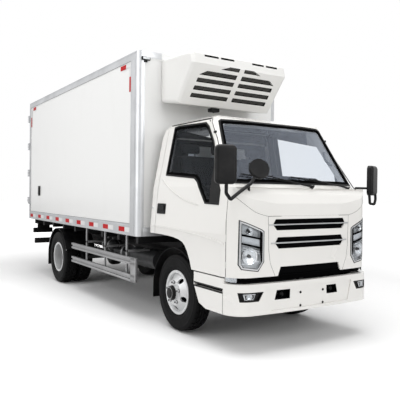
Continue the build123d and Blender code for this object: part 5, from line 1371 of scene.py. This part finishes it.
for side in (-1, 1):
    step = 0.0
    while box_rear + 0.16 + step < box_front - 0.1:
        x = box_rear + 0.16 + step
        for z in (1.02, 2.843):
            rivet((x, side * box_half, z), (0, side, 0))
        step += rivet_pitch
    for row in range(16):
        z = 1.07 + row * 0.115
        rivet((box_front - 0.15, side * (box_half + 0.002), z), (0, side, 0))
        rivet((box_rear + 0.075, side * box_half, z), (0, side, 0))
for row in range(16):
    y = -0.875 + row * 0.1167
    rivet((box_front, y, 1.02), (1, 0, 0))
    if abs(y + 0.066) > 0.64:
        rivet((box_front, y, 2.845), (1, 0, 0))
piece("box_rivets", join(*rivets), door_steel, "chassis")

# %% [markdown]
# The box's edges. A sealant line runs beside each rail and post, a broad flange covers each front corner, and
# the rails have folded drip edges and rubbing ribs. They are strips and long thin blocks.

# %% Rails, beads and sealant of the box
rail_ends = (box_rear + 0.06, box_front - 0.05)
flange_low, flange_high = box_low + 0.002, box_high - 0.086
beads, covers, ribs = [], [], []
for side in (-1, 1):
    for z in (1.035, 2.8275):
        beads.append(strip(side, box_rear + 0.062, box_front - 0.082, z, z + 0.0032, 0.0012))
    for x in (box_front - 0.1815, box_rear + 0.0605):
        beads.append(strip(side, x, x + 0.003, 1.036, 2.829, 0.0012))
    # the flange over the front corner, with a bead at its edge
    covers.append(strip(side, box_front - 0.175, box_front - 0.078, flange_low, flange_high, 0.0022))
    covers.append(strip(side, box_front - 0.178, box_front - 0.17, flange_low, flange_high, 0.0034))
    for z in (0.917, 1.012):
        ribs.append(side_block(side, rail_ends, (box_half, box_half + 0.0035), (z, z + 0.009), 0.0015))
    ribs.append(side_block(side, rail_ends, (box_half, box_half + 0.003), (2.9, 2.914), 0.0012))
piece("corner_flanges", join(*covers), alloy_post, "chassis")
piece("box_sealant", join(*beads), trim_grey, "chassis")
piece("box_rail_ribs", join(*ribs), alloy_rail, "chassis")
front_rail_table = (  # depth behind the front, reach ahead of it, low y, high y, low z, high z, rounding
    (-0.001, 0.004, -0.9, 0.9, 0.906, 1.002, 0.0015),
    (0.003, 0.0075, -0.9, 0.9, 0.99, 1.002, 0.0015),
    (0.003, 0.0075, -0.9, 0.9, 0.906, 0.918, 0.0015),
    (-0.001, 0.003, -0.9, -0.69, 2.845, 2.914, 0.0012),
    (-0.001, 0.003, 0.56, 0.9, 2.845, 2.914, 0.0012),
)
front_rail = [block((box_front + low_x, low_y, low_z), (box_front + high_x, high_y, high_z), bevel)
              for low_x, high_x, low_y, high_y, low_z, high_z, bevel in front_rail_table]
piece("box_front_rail", join(*front_rail), alloy_rail, "chassis")

# %% [markdown]
# A black housing sits on each side of the box near the back, and a marker lamp on a short stalk stands at each
# upper front corner.

# %% Side housings and marker lamps
for side, hand in hands:
    housing = side_block(side, (-2.3925, -2.2925), (box_half - 0.001, box_half + 0.01), (1.31, 1.47),
                         0.006, 3)
    cap = side_block(side, (-2.3725, -2.3125), (box_half + 0.008, box_half + 0.017), (1.335, 1.445), 0.005, 3)
    piece("side_vent_" + hand, join(housing, cap), black_plastic, "chassis")
    y = side * 0.889
    base = block((box_front - 0.001, y - 0.052, 2.812), (box_front + 0.022, y + 0.052, 2.848), 0.006, 3)
    stalk = block((box_front - 0.001, y - 0.02, 2.79), (box_front + 0.014, y + 0.02, 2.815), 0.004)
    piece("marker_base_" + hand, join(base, stalk), black_plastic, "chassis")
    glass = block((box_front + 0.018, y - 0.04, 2.818), (box_front + 0.033, y + 0.04, 2.842), 0.006, 3)
    piece("marker_lens_" + hand, glass, white_lens, "chassis")


# %% [markdown]
# Panel seams and pressed lines of the cab. A shut line is a thin dark strip just over the paint; a pressed
# feature line is a low soft ridge in body colour, which catches the light on its upper side.

# %% Seams and feature lines


def seam(points, surface, width=0.0035, lift=-0.001, thickness=0.0016, cell=0.03):
    """A narrow strip along a row of points on a surface."""
    shape = bmesh.new()
    pairs = []
    for index, (u, v) in enumerate(points):
        before = Vector(points[max(index - 1, 0)])
        after = Vector(points[min(index + 1, len(points) - 1)])
        along = (after - before).normalized()
        across = Vector((-along.y, along.x)) * (width / 2)
        pairs.append([shape.verts.new((u + across.x * sign, v + across.y * sign, 0.0)) for sign in (1, -1)])
    for (a, b), (c, d) in zip(pairs, pairs[1:]):
        shape.faces.new((a, b, d, c))
    return wrap(cut_cells(shape, cell), surface, lift, thickness)


def feature_line(points, surface, width, cell=0.05):
    """A pressed line: a strip in body colour that stands a few millimetres proud, with softened edges."""
    return soften(seam(points, surface, width, -0.002, 0.0066, cell), 0.0018, 1)


hood_seam = [(y, 1.19 if abs(y) > 0.5 else 1.1905) for y in (-0.505, -0.25, 0.0, 0.25, 0.505)]
fender_seams = (  # width, then places out from the hood seam's end: up to the screen, and down to the intake
    (0.0025, ((0.505, 1.19), (0.56, 1.2015), (0.634, 1.224), (0.7, 1.262), (0.76, 1.311), (0.806, 1.355))),
    (0.0022, ((0.505, 1.19), (0.5, 1.05), (0.497, 0.9), (0.478, 0.78), (0.44, 0.7), (0.425, 0.667))),
)
dark_seams = [seam(hood_seam, cab_face)]
for side in (1, -1):
    for width, places in fender_seams:
        dark_seams.append(seam([(side * y, z) for y, z in places], cab_face, width))
piece("cab_front_seams", join(*dark_seams), seal_rubber, "cab")

belt_line = [(1.545, 1.0315), (1.8, 1.03), (2.1, 1.018), (2.4, 0.996), (2.6, 0.975), (2.78, 0.95)]
crease_line = [(1.6035, 1.517), (1.7, 1.462), (1.85, 1.392), (2.05, 1.325), (2.2, 1.292), (2.3365, 1.273)]
for side, hand in hands:
    surface = cab_side(side)
    lines = join(feature_line(belt_line, surface, 0.016), feature_line(crease_line, surface, 0.014, 0.04))
    piece("door_feature_lines_" + hand, lines, cab_paint, "cab_door_%s_body" % hand)
    rear_line = feature_line([(1.4305, 1.0335), (1.522, 1.0318)], surface, 0.016)
    piece("cab_feature_line_" + hand, rear_line, cab_paint, "cab")

# %% [markdown]
# A black gutter runs along each edge of the roof, and a black seal down each pillar beside the screen. Both are
# bent bars, half sunk into the panel.

# %% Gutters and pillar seals
gutter_path = ((1.545, 0.661, 2.098), (1.8, 0.661, 2.099), (2.05, 0.661, 2.099), (2.29, 0.661, 2.096))
pillar_path = ((2.2995, 0.685, 2.08), (2.4, 0.71, 1.96), (2.52, 0.742, 1.79), (2.64, 0.776, 1.612),
               (2.755, 0.806, 1.45))
for side, hand in hands:
    gutter = bent_bar([(x, side * y, z) for x, y, z in gutter_path], 0.0055, 10, 4)
    piece("roof_gutter_" + hand, gutter, seal_rubber, "cab")
    seal = bent_bar([(x, side * y, z) for x, y, z in pillar_path], 0.0045, 8, 4)
    piece("pillar_seal_" + hand, seal, seal_rubber, "cab")

# The cab's inside. Bare painted panels would glow through the windows, so the inside gets what a real cab has:
# a headlining, dark trim on the back wall, door cards with an armrest, and a rubber floor mat. The headlining is
# near-black, painted shade under the roof, where a real one is pale grey.

# %% Cab lining
back_trim_table = (  # low y, high y, low z, high z, round the rear window
    (-0.78, 0.78, 0.995, 1.5), (0.425, 0.69, 1.5, 1.96), (-0.69, -0.425, 1.5, 1.96),
    (-0.62, 0.62, 1.905, 2.06),
)
back_trim = [block((1.4785, low_y, low_z), (1.4905, high_y, high_z), 0.004)
             for low_y, high_y, low_z, high_z in back_trim_table]
piece("cab_back_trim", join(*back_trim), liner_dark, "cab")
mat = block((1.52, -0.77, 0.9915), (2.42, 0.77, 0.9985), 0.002)
mat_ribs = [block((x, -0.74, 0.9975), (x + 0.012, 0.74, 1.001))
            for x in [2.08 + step * 0.03 for step in range(10)]]
piece("cab_floor_mat", join(mat, *mat_ribs), black_plastic, "cab")
# painted shade: the headlining takes the near-black lining, not its own pale grey
lining = block((1.56, -0.6, 2.096), (2.3, 0.6, 2.106), 0.004)
piece("cab_headlining", lining, liner_dark, "cab")

card_outline = [(1.64, 1.01), (2.64, 1.01), (2.655, 1.262), (2.435, 1.268), (2.25, 1.47), (2.205, 1.498),
                (1.64, 1.535)]
pull_path = ((1.98, 0.778), (1.99, 0.752), (2.08, 0.75), (2.16, 0.752), (2.17, 0.778))
for side, hand in hands:
    card = plate(card_outline, cab_side(side), -0.056, 0.006, 0.08)
    armrest = side_block(side, (1.76, 2.24), (0.74, 0.8), (1.185, 1.232), 0.012, 3)
    pull = bent_bar([(x, side * y, 1.33) for x, y in pull_path], 0.009, 10, 4)
    piece("door_card_" + hand, join(card, armrest, pull), liner_dark, "cab_door_%s_body" % hand)

# %% [markdown]
# The seats are soft, so each takes the place of its plain solid. A cushion starts as a block with rounded
# edges, is remeshed into even small cells, and is blown up a little as cloth under pressure. The seams come
# after it, as grooves pressed across the panels.

# %% Seat cushions
cloth_frames = 18
seam_depth, seam_width = 0.006, 0.01


def whole_mesh(item):
    """A new mesh with an object's modifiers applied."""
    return bpy.data.meshes.new_from_object(item.evaluated_get(bpy.context.evaluated_depsgraph_get()))


def cushion(low, high, lean=0.0, cell=0.016, cap=0.012):
    """A crowned pad between two corners; lean moves its top back, and no point moves further than cap."""
    low, high = Vector(low), Vector(high)
    inset = Vector((0.01, 0.01, 0.006))
    shape = block(low + inset, high - inset, 0.035, 4)
    for vertex in shape.verts:
        vertex.co.x -= lean * ((vertex.co.z - low.z) / (high.z - low.z))
    mesh = bpy.data.meshes.new("pad")
    shape.to_mesh(mesh)
    shape.free()
    pad = bpy.data.objects.new("pad", mesh)
    scene.collection.objects.link(pad)
    remesh = pad.modifiers.new("remesh", "REMESH")
    remesh.mode = "VOXEL"
    remesh.voxel_size = cell
    bpy.context.view_layer.update()
    even = whole_mesh(pad)
    pad.modifiers.clear()
    pad.data = even
    start = [vertex.co.copy() for vertex in even.vertices]
    cloth = pad.modifiers.new("cloth", "CLOTH")
    cloth.settings.use_pressure = True
    cloth.settings.uniform_pressure_force = 4.0
    cloth.settings.effector_weights.gravity = 0.0
    cloth.settings.quality = 5
    for frame_number in range(1, cloth_frames + 1):
        scene.frame_set(frame_number)
    blown = whole_mesh(pad)
    pad.modifiers.clear()
    scene.frame_set(1)
    for vertex, before, after in zip(even.vertices, start, blown.vertices):
        step = after.co - before
        if step.length > cap:
            step = step.normalized() * cap
        vertex.co = before + step
    shape = bmesh.new()
    shape.from_mesh(even)
    bpy.data.objects.remove(pad)
    bmesh.ops.subdivide_edges(shape, edges=shape.edges, cuts=1, use_grid_fill=True)
    bmesh.ops.smooth_vert(shape, verts=shape.verts, factor=0.5, use_axis_x=True, use_axis_y=True,
                          use_axis_z=True)
    return shape


def press_seams(shape, seams):
    """Draw the cloth down along seams: each is an axis index, a place on it, and the axis to press along."""
    for vertex in shape.verts:
        for axis_index, place, press_axis in seams:
            near = math.exp(-((vertex.co[axis_index] - place) / seam_width) ** 2)
            vertex.co[press_axis] -= seam_depth * near
    return shape


seat_table = (  # name, middle y, half width, seams across the seat, head rests off the middle
    ("driver", 0.395, 0.23, (-0.125, 0.125), (0.0,)),
    ("passenger", -0.27, 0.35, (-0.225, 0.0, 0.225), (-0.19, 0.19)),
)
seat_parts, seat_shells = [], []
for name, middle, half, across, rests in seat_table:
    low_y, high_y = middle - half, middle + half
    base = cushion((1.615, low_y + 0.004, 1.185), (2.04, high_y - 0.004, 1.33))
    seams = [(1, middle + y, 2) for y in across] + [(0, x, 2) for x in (1.86, 1.97)]
    base = piece("seat_base_" + name, press_seams(base, seams), seat_fabric, "cab")
    back = cushion((1.628, low_y + 0.006, 1.3), (1.722, high_y - 0.006, 1.8), lean=0.06)
    seams = [(1, middle + y, 0) for y in across] + [(2, z, 0) for z in (1.48, 1.66)]
    back = piece("seat_back_" + name, press_seams(back, seams), seat_fabric, "cab")
    seat_parts += [base, back]
    for number, offset in enumerate(rests, 1):
        rest_y = middle + offset
        head = cushion((1.56, rest_y - 0.125, 1.8), (1.64, rest_y + 0.125, 1.918), 0.01, 0.012, 0.01)
        head = piece("head_rest_%s_%d" % (name, number), head, seat_fabric, "cab")
        seat_parts.append(head)
        for post_y in (rest_y - 0.05, rest_y + 0.05):
            seat_shells.append(rod((1.6, post_y, 1.76), (1.6, post_y, 1.83), 0.006, 12))
    # the hard shell under and behind the pads
    seat_shells.append(block((1.64, low_y + 0.03, 0.992), (1.99, high_y - 0.03, 1.19), 0.012))
    shell_back = block((1.602, low_y + 0.012, 1.23), (1.628, high_y - 0.012, 1.78), 0.01)
    for vertex in shell_back.verts:
        vertex.co.x -= 0.06 * (vertex.co.z - 1.3) / 0.5
    seat_shells.append(shell_back)
    seat_shells.append(block((1.61, low_y + 0.012, 1.17), (2.015, high_y - 0.012, 1.195), 0.008))
for part in seat_parts:
    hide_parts("seats")
shells = piece("seat_shells", join(*seat_shells), black_plastic, "cab")
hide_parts("seats")

# %% [markdown]
# The steering wheel is a ring spun round a tilted column, with a pad and three spokes. The dashboard gets its
# instruments, vents and knobs as plain blocks and rods, because only their dark shapes show through the glass.

# %% Steering wheel and dashboard
column_tilt = math.radians(38.0)
column = Vector((-math.sin(column_tilt), 0, math.cos(column_tilt)))
steering_middle = Vector((2.3525, 0.4, 1.4))
rim_radius, rim_thick, rim_steps = 0.215, 0.019, 12
rim_angles = [2 * math.pi * step / rim_steps for step in range(rim_steps + 1)]
rim_rows = [(rim_thick * math.sin(a), rim_radius + rim_thick * math.cos(a)) for a in rim_angles]
rim = turned(rim_rows, steering_middle, column, 56)
pad = turned([(-0.02, 0.0), (-0.02, 0.06), (0.012, 0.064), (0.026, 0.05), (0.031, 0.0)], steering_middle,
             column, 32)
spokes = []
for angle in (0.0, math.pi, -math.pi / 2):
    reach = Vector((0, math.cos(angle), 0)) + column.cross(Vector((0, 1, 0))) * -math.sin(angle)
    spokes.append(rod(steering_middle + reach * 0.05, steering_middle + reach * 0.205, 0.0205, 10, 0.0195))
piece("steering_wheel", join(rim, pad, *spokes), black_plastic, "cab")

binnacle = block((2.18, 0.215, 1.425), (2.38, 0.585, 1.505), 0.022, 4)
screen_unit = block((2.15, -0.11, 1.3), (2.175, 0.11, 1.41), 0.005)
vents = [block((2.145, y - 0.055, 1.335), (2.168, y + 0.055, 1.395), 0.008, 3) for y in (-0.64, -0.205, 0.64)]
knobs = [rod((2.17, y, 1.25), (2.14, y, 1.25), 0.02, 24, 0.017, 0.003) for y in (-0.07, 0.0, 0.07)]
top_pad = block((2.24, -0.7, 1.432), (2.62, 0.2, 1.446), 0.006, 3)
piece("dash_details", join(binnacle, screen_unit, top_pad, *vents, *knobs), dash_plastic, "cab")

# %% [markdown]
# Beside the driver stands a gear lever with a knob. Two sun visors hang under the headlining, and each pillar
# has a grab handle.

# %% Lever, visors and grab handles
lever = bent_bar(((2.1, 0.045, 0.99), (2.1, 0.045, 1.15), (2.08, 0.04, 1.27), (2.06, 0.035, 1.335)),
                 0.009, 10, 4)
knob = turned([(0.0, 0.0), (0.0, 0.018), (0.014, 0.026), (0.034, 0.024), (0.046, 0.012), (0.048, 0.0)],
              (2.062, 0.035, 1.325), (-0.2, 0, 1), 24)
piece("gear_lever", join(lever, knob), black_plastic, "cab")
visors = [block((2.235, y - 0.23, 2.02), (2.255, y + 0.23, 2.1), 0.008, 3) for y in (-0.33, 0.33)]
piece("sun_visors", join(*visors), liner_pale, "cab")
grips = []
for side in (1, -1):
    path = [screen_face(side * 0.68, 1.69, -0.052), screen_face(side * 0.655, 1.7, -0.088),
            screen_face(side * 0.64, 1.79, -0.092), screen_face(side * 0.64, 1.835, -0.052)]
    grips.append(bent_bar(path, 0.011, 12, 4))
piece("pillar_grips", join(*grips), liner_pale, "cab")

# %% [markdown]
# Below the box. The side guards are two aluminium rails, each with one broad groove, on thin hangers, with a
# broad post in front. They replace the plain bars of the solid, inside the same space.

# %% Side guards
guard_rear, guard_front, guard_out = -0.795, 1.2575, 0.95
rail_deep, groove_deep = 0.03, 0.016
hanger_places = (-0.3, 0.33, 0.96)


def grooved_rail(side, z_low, z_high):
    """A rail with one broad open groove along its outer face."""
    third = (z_high - z_low) / 3
    face = [(guard_out - rail_deep, z_low)]
    for step, deep in enumerate((0.0, groove_deep, 0.0)):
        face += [(guard_out - deep, z_low + third * step), (guard_out - deep, z_low + third * (step + 1))]
    face.append((guard_out - rail_deep, z_high))
    shape = bmesh.new()
    foot = shape.faces.new([shape.verts.new((guard_rear, side * y, z)) for y, z in face])
    made = bmesh.ops.extrude_face_region(shape, geom=[foot])
    moved = [item for item in made["geom"] if isinstance(item, bmesh.types.BMVert)]
    bmesh.ops.translate(shape, verts=moved, vec=(guard_front - 0.01 - guard_rear, 0, 0))
    return shape


def slab(side, x_ends, deep, out, z_ends, bevel=0.002):
    """A block on one side of the truck, from depth deep to out behind the guard's face."""
    return side_block(side, x_ends, (guard_out - deep, guard_out - out), z_ends, bevel)


for side, hand in hands:
    rails = [grooved_rail(side, 0.582, 0.66), grooved_rail(side, 0.392, 0.47)]
    post = slab(side, (1.135, guard_front), 0.034, 0.0, (0.39, 0.662), 0.003)
    guard = piece("side_guard_" + hand, join(*rails, post), guard_alloy, "chassis")
    hangers = [slab(side, (x - 0.016, x + 0.016), 0.05, 0.03, (0.4, 0.9045)) for x in hanger_places]
    arms = [slab(side, (x - 0.016, x + 0.016), 0.33, 0.03, (0.7, 0.725)) for x in hanger_places]
    bolts = [rod((x, side * (guard_out - 0.002), z), (x, side * guard_out, z), 0.008, 6)
             for x in (1.165, 1.225) for z in (0.431, 0.621)]
    hung = piece("guard_hangers_" + hand, join(*hangers, *arms, *bolts), guard_alloy, "chassis")
    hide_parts("side_guards")
    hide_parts("side_guards")

# %% [markdown]
# Under the frame hang the small things that fill the dark space: air tanks with straps, straps and a filler cap
# on the fuel tank, and a ribbed case with a lid.

# %% Tanks and straps
silencer_y = -0.4753


def air_tank(x_low, x_high, y, z, radius):
    """A pressure tank with domed ends, along the truck."""
    rows = [(0.0, 0.0), (0.004, radius * 0.45), (0.018, radius * 0.8), (0.036, radius * 0.97), (0.05, radius)]
    length = x_high - x_low
    back = [(length - along, reach) for along, reach in reversed(rows)]
    return turned(rows + back, (x_low, y, z), (1, 0, 0), 36)


def strap(x, y, z, radius, width=0.03):
    """A band round a tank."""
    return turned([(-width / 2, radius), (-width / 2, radius + 0.004), (width / 2, radius + 0.004),
                   (width / 2, radius), (-width / 2, radius)], (x, y, z), (1, 0, 0), 36)


piece("air_tanks", join(air_tank(-0.64, -0.345, -0.48, 0.64, 0.085),
                        air_tank(-0.66, -0.345, 0.47, 0.61, 0.09)), tank_steel, "chassis")
bands = [strap(x, -0.48, 0.64, 0.0852) for x in (-0.59, -0.4)]
bands += [strap(x, 0.47, 0.61, 0.0902) for x in (-0.6, -0.41)]
bands += [strap(x, silencer_y, 0.58, 0.1152, 0.036) for x in (0.1, 0.62)]
for x in (0.3, 0.73):
    bands.append(block((x - 0.02, 0.351, 0.725), (x + 0.02, 0.734, 0.7295), 0.001, 1))
    bands.append(block((x - 0.02, 0.73, 0.395), (x + 0.02, 0.7345, 0.729), 0.001, 1))
for x in (-0.58, -0.42):
    bands.append(block((x - 0.012, -0.49, 0.725), (x + 0.012, -0.345, 0.745), 0.001, 1))
    bands.append(block((x - 0.012, 0.345, 0.7), (x + 0.012, 0.48, 0.718), 0.001, 1))
piece("tank_straps", join(*bands), door_steel, "chassis")
filler = turned([(0.0, 0.0), (0.0, 0.04), (0.02, 0.04), (0.022, 0.05), (0.042, 0.05), (0.046, 0.044),
                 (0.047, 0.0)], (0.52, 0.64, 0.725), (0, 0, 1), 36)
piece("filler_cap", join(filler), black_plastic, "chassis")
case_lid = block((-0.328, 0.3505, 0.7), (0.103, 0.655, 0.7285), 0.006)
case_ribs = [block((-0.3 + step * 0.062, 0.649, 0.44), (-0.28 + step * 0.062, 0.654, 0.7), 0.002, 1)
             for step in range(7)]
piece("battery_lid", join(case_lid, *case_ribs), black_plastic, "chassis")

# %% [markdown]
# Three thin pipes sag a little along each rail of the frame, an exhaust pipe enters and leaves the silencer, and
# dark trays stand between the rails as hoses and looms do; being near-black, they are also painted shade for the
# dark space under the frame. Each spring is held to its axle by bent clamps.

# %% Pipes, trays and spring clamps
pipes = []
for side in (-1, 1):
    for number, z in enumerate((0.7, 0.716, 0.732)):
        y = side * (0.357 + 0.003 * number)
        pipes.append(bent_bar([(x, y, z + 0.004 * math.sin(x * 3 + number)) for x in
                               (-2.6, -1.9, -1.2, -0.5, 0.2, 0.8, 1.3)], 0.0055, 8, 3))
pipes.append(bent_bar(((1.0, silencer_y, 0.58), (1.12, silencer_y, 0.58), (1.25, -0.43, 0.58),
                       (1.33, -0.3, 0.6), (1.39, -0.2, 0.64)), 0.028, 16, 4))
pipes.append(bent_bar(((-0.3, silencer_y, 0.56), (-0.42, silencer_y - 0.01, 0.52), (-0.56, -0.56, 0.49),
                       (-0.64, -0.68, 0.47), (-0.66, -0.78, 0.455)), 0.024, 16, 4))
piece("pipes", join(*pipes), frame_black, "chassis")
# near-black trays: hoses and looms, and painted shade between the rails
loom_and_shade = [block((-0.62, low_y, 0.64), (1.25, low_y + 0.03, 0.815), 0.006) for low_y in (-0.3, 0.27)]
piece("loom_and_shade_trays", join(*loom_and_shade), black_and_painted_shade, "chassis")

clamp_in, clamp_out = 0.283, 0.352
clamps = []
for axle_x, spring_z, rise in ((front_axle_x, 0.43, 0.075), (rear_axle_x, 0.4495, 0.085)):
    for side in (-1, 1):
        for x in (axle_x - 0.07, axle_x + 0.07):
            corners = ((clamp_in, -0.075), (clamp_in, rise), (clamp_out, rise), (clamp_out, -0.075))
            clamps.append(bent_bar([(x, side * y, spring_z + up) for y, up in corners], 0.0075, 8, 4))
piece("spring_clamps", join(*clamps), frame_black, "chassis")

# %% [markdown]
# The rear mudguard has a bright folded edge, a bar bent along an arc about the axle.

# %% Mudguard edges
edge_radius = 0.4385
edge_angles = [math.radians(18 + 12 * step) for step in range(13)]
edges = []
for side in (-1, 1):
    arc = [(rear_axle_x + edge_radius * math.cos(a), side * 0.9465, axle_height + edge_radius * math.sin(a))
           for a in edge_angles]
    edges.append(bent_bar(arc, 0.0035, 8, 3))
piece("mudguard_edges", join(*edges), alloy_rail, "chassis")

# %% [markdown]
# The mirrors' glasses look back: one tall flat glass in each housing, in a rubber rim, and a small domed one
# that looks down. Moulded sleeves cover the bends of the mirrors' arms.

# %% Mirror glasses
mirror_turn = math.radians(22.0)
right_arm_x, left_arm_x = 2.929, 2.867
mirror_table = ((-1, "right", right_arm_x, 1.46, 1.788), (1, "left", left_arm_x, 1.38, 1.685))
for side, hand, x, z_low, z_high in mirror_table:
    half = (z_high - z_low) / 2 - 0.016
    centre = Vector((x, side * 0.954, (z_low + z_high) / 2))
    place = Matrix.Translation(centre) @ Matrix.Rotation(side * mirror_turn, 4, "Z")
    for finish, name, grow, low_x in ((seal_rubber, "mirror_rim_", 0.0, -0.0325),
                                      (mirror_silver, "mirror_glass_", -0.008, -0.0335)):
        shape = block((low_x, -0.079 - grow, -half - grow), (-0.03, 0.079 + grow, half + grow))
        upright = [edge for edge in shape.edges if abs((edge.verts[0].co - edge.verts[1].co).x) > 1e-6]
        bmesh.ops.bevel(shape, geom=upright, offset=0.03, segments=4, profile=0.5, affect="EDGES",
                        material=-1)
        bmesh.ops.transform(shape, matrix=place, verts=shape.verts)
        piece(name + hand, shape, finish, "cab")
round_glass = turned([(0.018, 0.0), (0.018, 0.086), (0.0222, 0.086), (0.0245, 0.06), (0.0255, 0.03),
                      (0.0258, 0.0)], (2.885, -0.562, 1.6), (-0.86, 0.3, -0.42), 40)
piece("mirror_glass_round", round_glass, mirror_silver, "cab")


bend_reach = 0.024


def sleeve(points, radius):
    """A moulded sleeve that follows an arm's runs closely, with short rounded bends."""
    places = [Vector(point) for point in points]
    path = [places[0]]
    for before, corner, after in zip(places, places[1:], places[2:]):
        path += [corner + (before - corner).normalized() * bend_reach, corner,
                 corner + (after - corner).normalized() * bend_reach]
    return bent_bar(path + [places[-1]], radius, 16, 3)


right_arm = ((0.0, -0.941, 1.48), (0.0, -0.941, 1.385), (0.0, -0.895, 1.335), (-0.007, -0.8, 1.396),
             (-0.024, -0.663, 1.473), (-0.04, -0.59, 1.561))
left_arm = ((0.0, 0.905, 1.44), (0.0, 0.922, 1.296), (0.0, 0.99, 1.288), (0.0, 1.008, 1.34),
            (0.0, 1.004, 1.39))
sleeves = [sleeve([(right_arm_x + x, y, z) for x, y, z in right_arm], 0.0155),
           sleeve([(left_arm_x + x, y, z) for x, y, z in left_arm], 0.0135)]
piece("mirror_arm_sleeves", join(*sleeves), black_plastic, "cab")

# %% [markdown]
# The back. Each door has a black rubber seal round its edge, and the lamps have coloured lenses in a black tray
# with one more red lamp at the top.

# %% Rear doors and lamps


def rear_face(x):
    """A flat surface that faces backwards, at one x."""
    def surface(y, z, lift=0.0):
        return Vector((x - lift, y, z))
    return surface


door_face_x, lamp_face_x = -2.9575, -2.9475
rear_lamps = (  # name, lens, inner y, outer y
    ("stop", red_lens, 0.79, 0.895), ("turn", amber_lens, 0.685, 0.785), ("reverse", white_lens, 0.576, 0.68),
)
edge_outline, field_outline = rect(0.0125, 0.9035, 1.0435, 2.8225), rect(0.06, 0.86, 1.12, 2.76)
for side, hand in hands:
    door_body = "box_door_%s_body" % hand
    seal = ring_plate(handed(edge_outline, side), 0.0, 0.016, rear_face(door_face_x), -0.001, 0.0045, 3.0)
    piece("door_seal_" + hand, seal, seal_rubber, door_body)
    # the edge of a pressed stiffening panel
    field = ring_plate(handed(field_outline, side), 0.0, 0.006, rear_face(door_face_x), -0.001, 0.003, 3.0)
    piece("door_field_line_" + hand, field, door_paint, door_body)
    tray = side_block(side, (lamp_face_x - 0.006, lamp_face_x + 0.01), (0.568, 0.902), (0.651, 0.739), 0.006)
    piece("rear_lamp_tray_" + hand, tray, black_plastic, "chassis")
    for name, finish, low, high in rear_lamps:
        shape = side_block(side, (lamp_face_x - 0.02, lamp_face_x - 0.004), (low, high), (0.659, 0.731),
                           0.007, 3)
        piece("rear_lamp_%s_%s" % (name, hand), shape, finish, "chassis")
    y = side * 0.8
    top_lamp = block((door_face_x - 0.018, y - 0.045, 2.855), (door_face_x + 0.002, y + 0.045, 2.885),
                     0.006, 3)
    piece("rear_top_lamp_" + hand, top_lamp, red_lens, "chassis")

# %% [markdown]
# Reflective tape marks the box's rear frame and the bar below it, red and white in turn. The number plate has a
# bracket with a lamp, and is left blank.

# %% Rear tape and plate
bar_face_x = -2.9375
reds, whites = [], []


def rear_tape(tapes, side, low, low_z, high_z, face_x):
    """One length of tape on a face of the back, from low outwards."""
    outline = handed(rect(low, low + 0.12, low_z, high_z), side)
    tapes.append(plate(outline, rear_face(face_x), -0.0005, 0.0014, 3.0))


for side in (-1, 1):
    for low in [0.1 + step * 0.27 for step in range(3)]:
        rear_tape(reds, side, low, 0.945, 0.995, door_face_x)
        rear_tape(whites, side, low + 0.12, 0.945, 0.995, door_face_x)
    for step, tapes in enumerate((reds, whites, reds, whites, reds)):
        rear_tape(tapes, side, 0.22 + step * 0.12, 0.488, 0.542, bar_face_x)
piece("rear_tape_red", join(*reds), red_tape, "chassis")
piece("rear_tape_white", join(*whites), white_tape, "chassis")

plate_back = block((-2.912, -0.235, 0.645), (-2.903, 0.235, 0.8), 0.004)
plate_lamp = block((-2.935, -0.06, 0.79), (-2.905, 0.06, 0.822), 0.008, 3)
piece("plate_bracket", join(plate_back, plate_lamp), black_plastic, "chassis")
blank = block((-2.9155, -0.22, 0.652), (-2.9115, 0.22, 0.788), 0.0015)
piece("rear_plate_blank", blank, unit_paint, "chassis")

# %% [markdown]
# Last come two small parts at the front: a drain box under the cooling unit, and a clip on each pillar.

# %% Small front parts
drain = [block((1.56, -0.225, 2.286), (1.64, -0.115, 2.3265), 0.006, 3),
         rod((1.6, -0.17, 2.29), (1.6, -0.17, 2.278), 0.01, 16)]
piece("unit_drain_box", join(*drain), black_plastic, "chassis")
clips = [block((2.412, y - 0.01, 1.943), (2.442, y + 0.01, 1.965), 0.004) for y in (-0.712, 0.712)]
piece("pillar_clips", join(*clips), black_plastic, "cab")
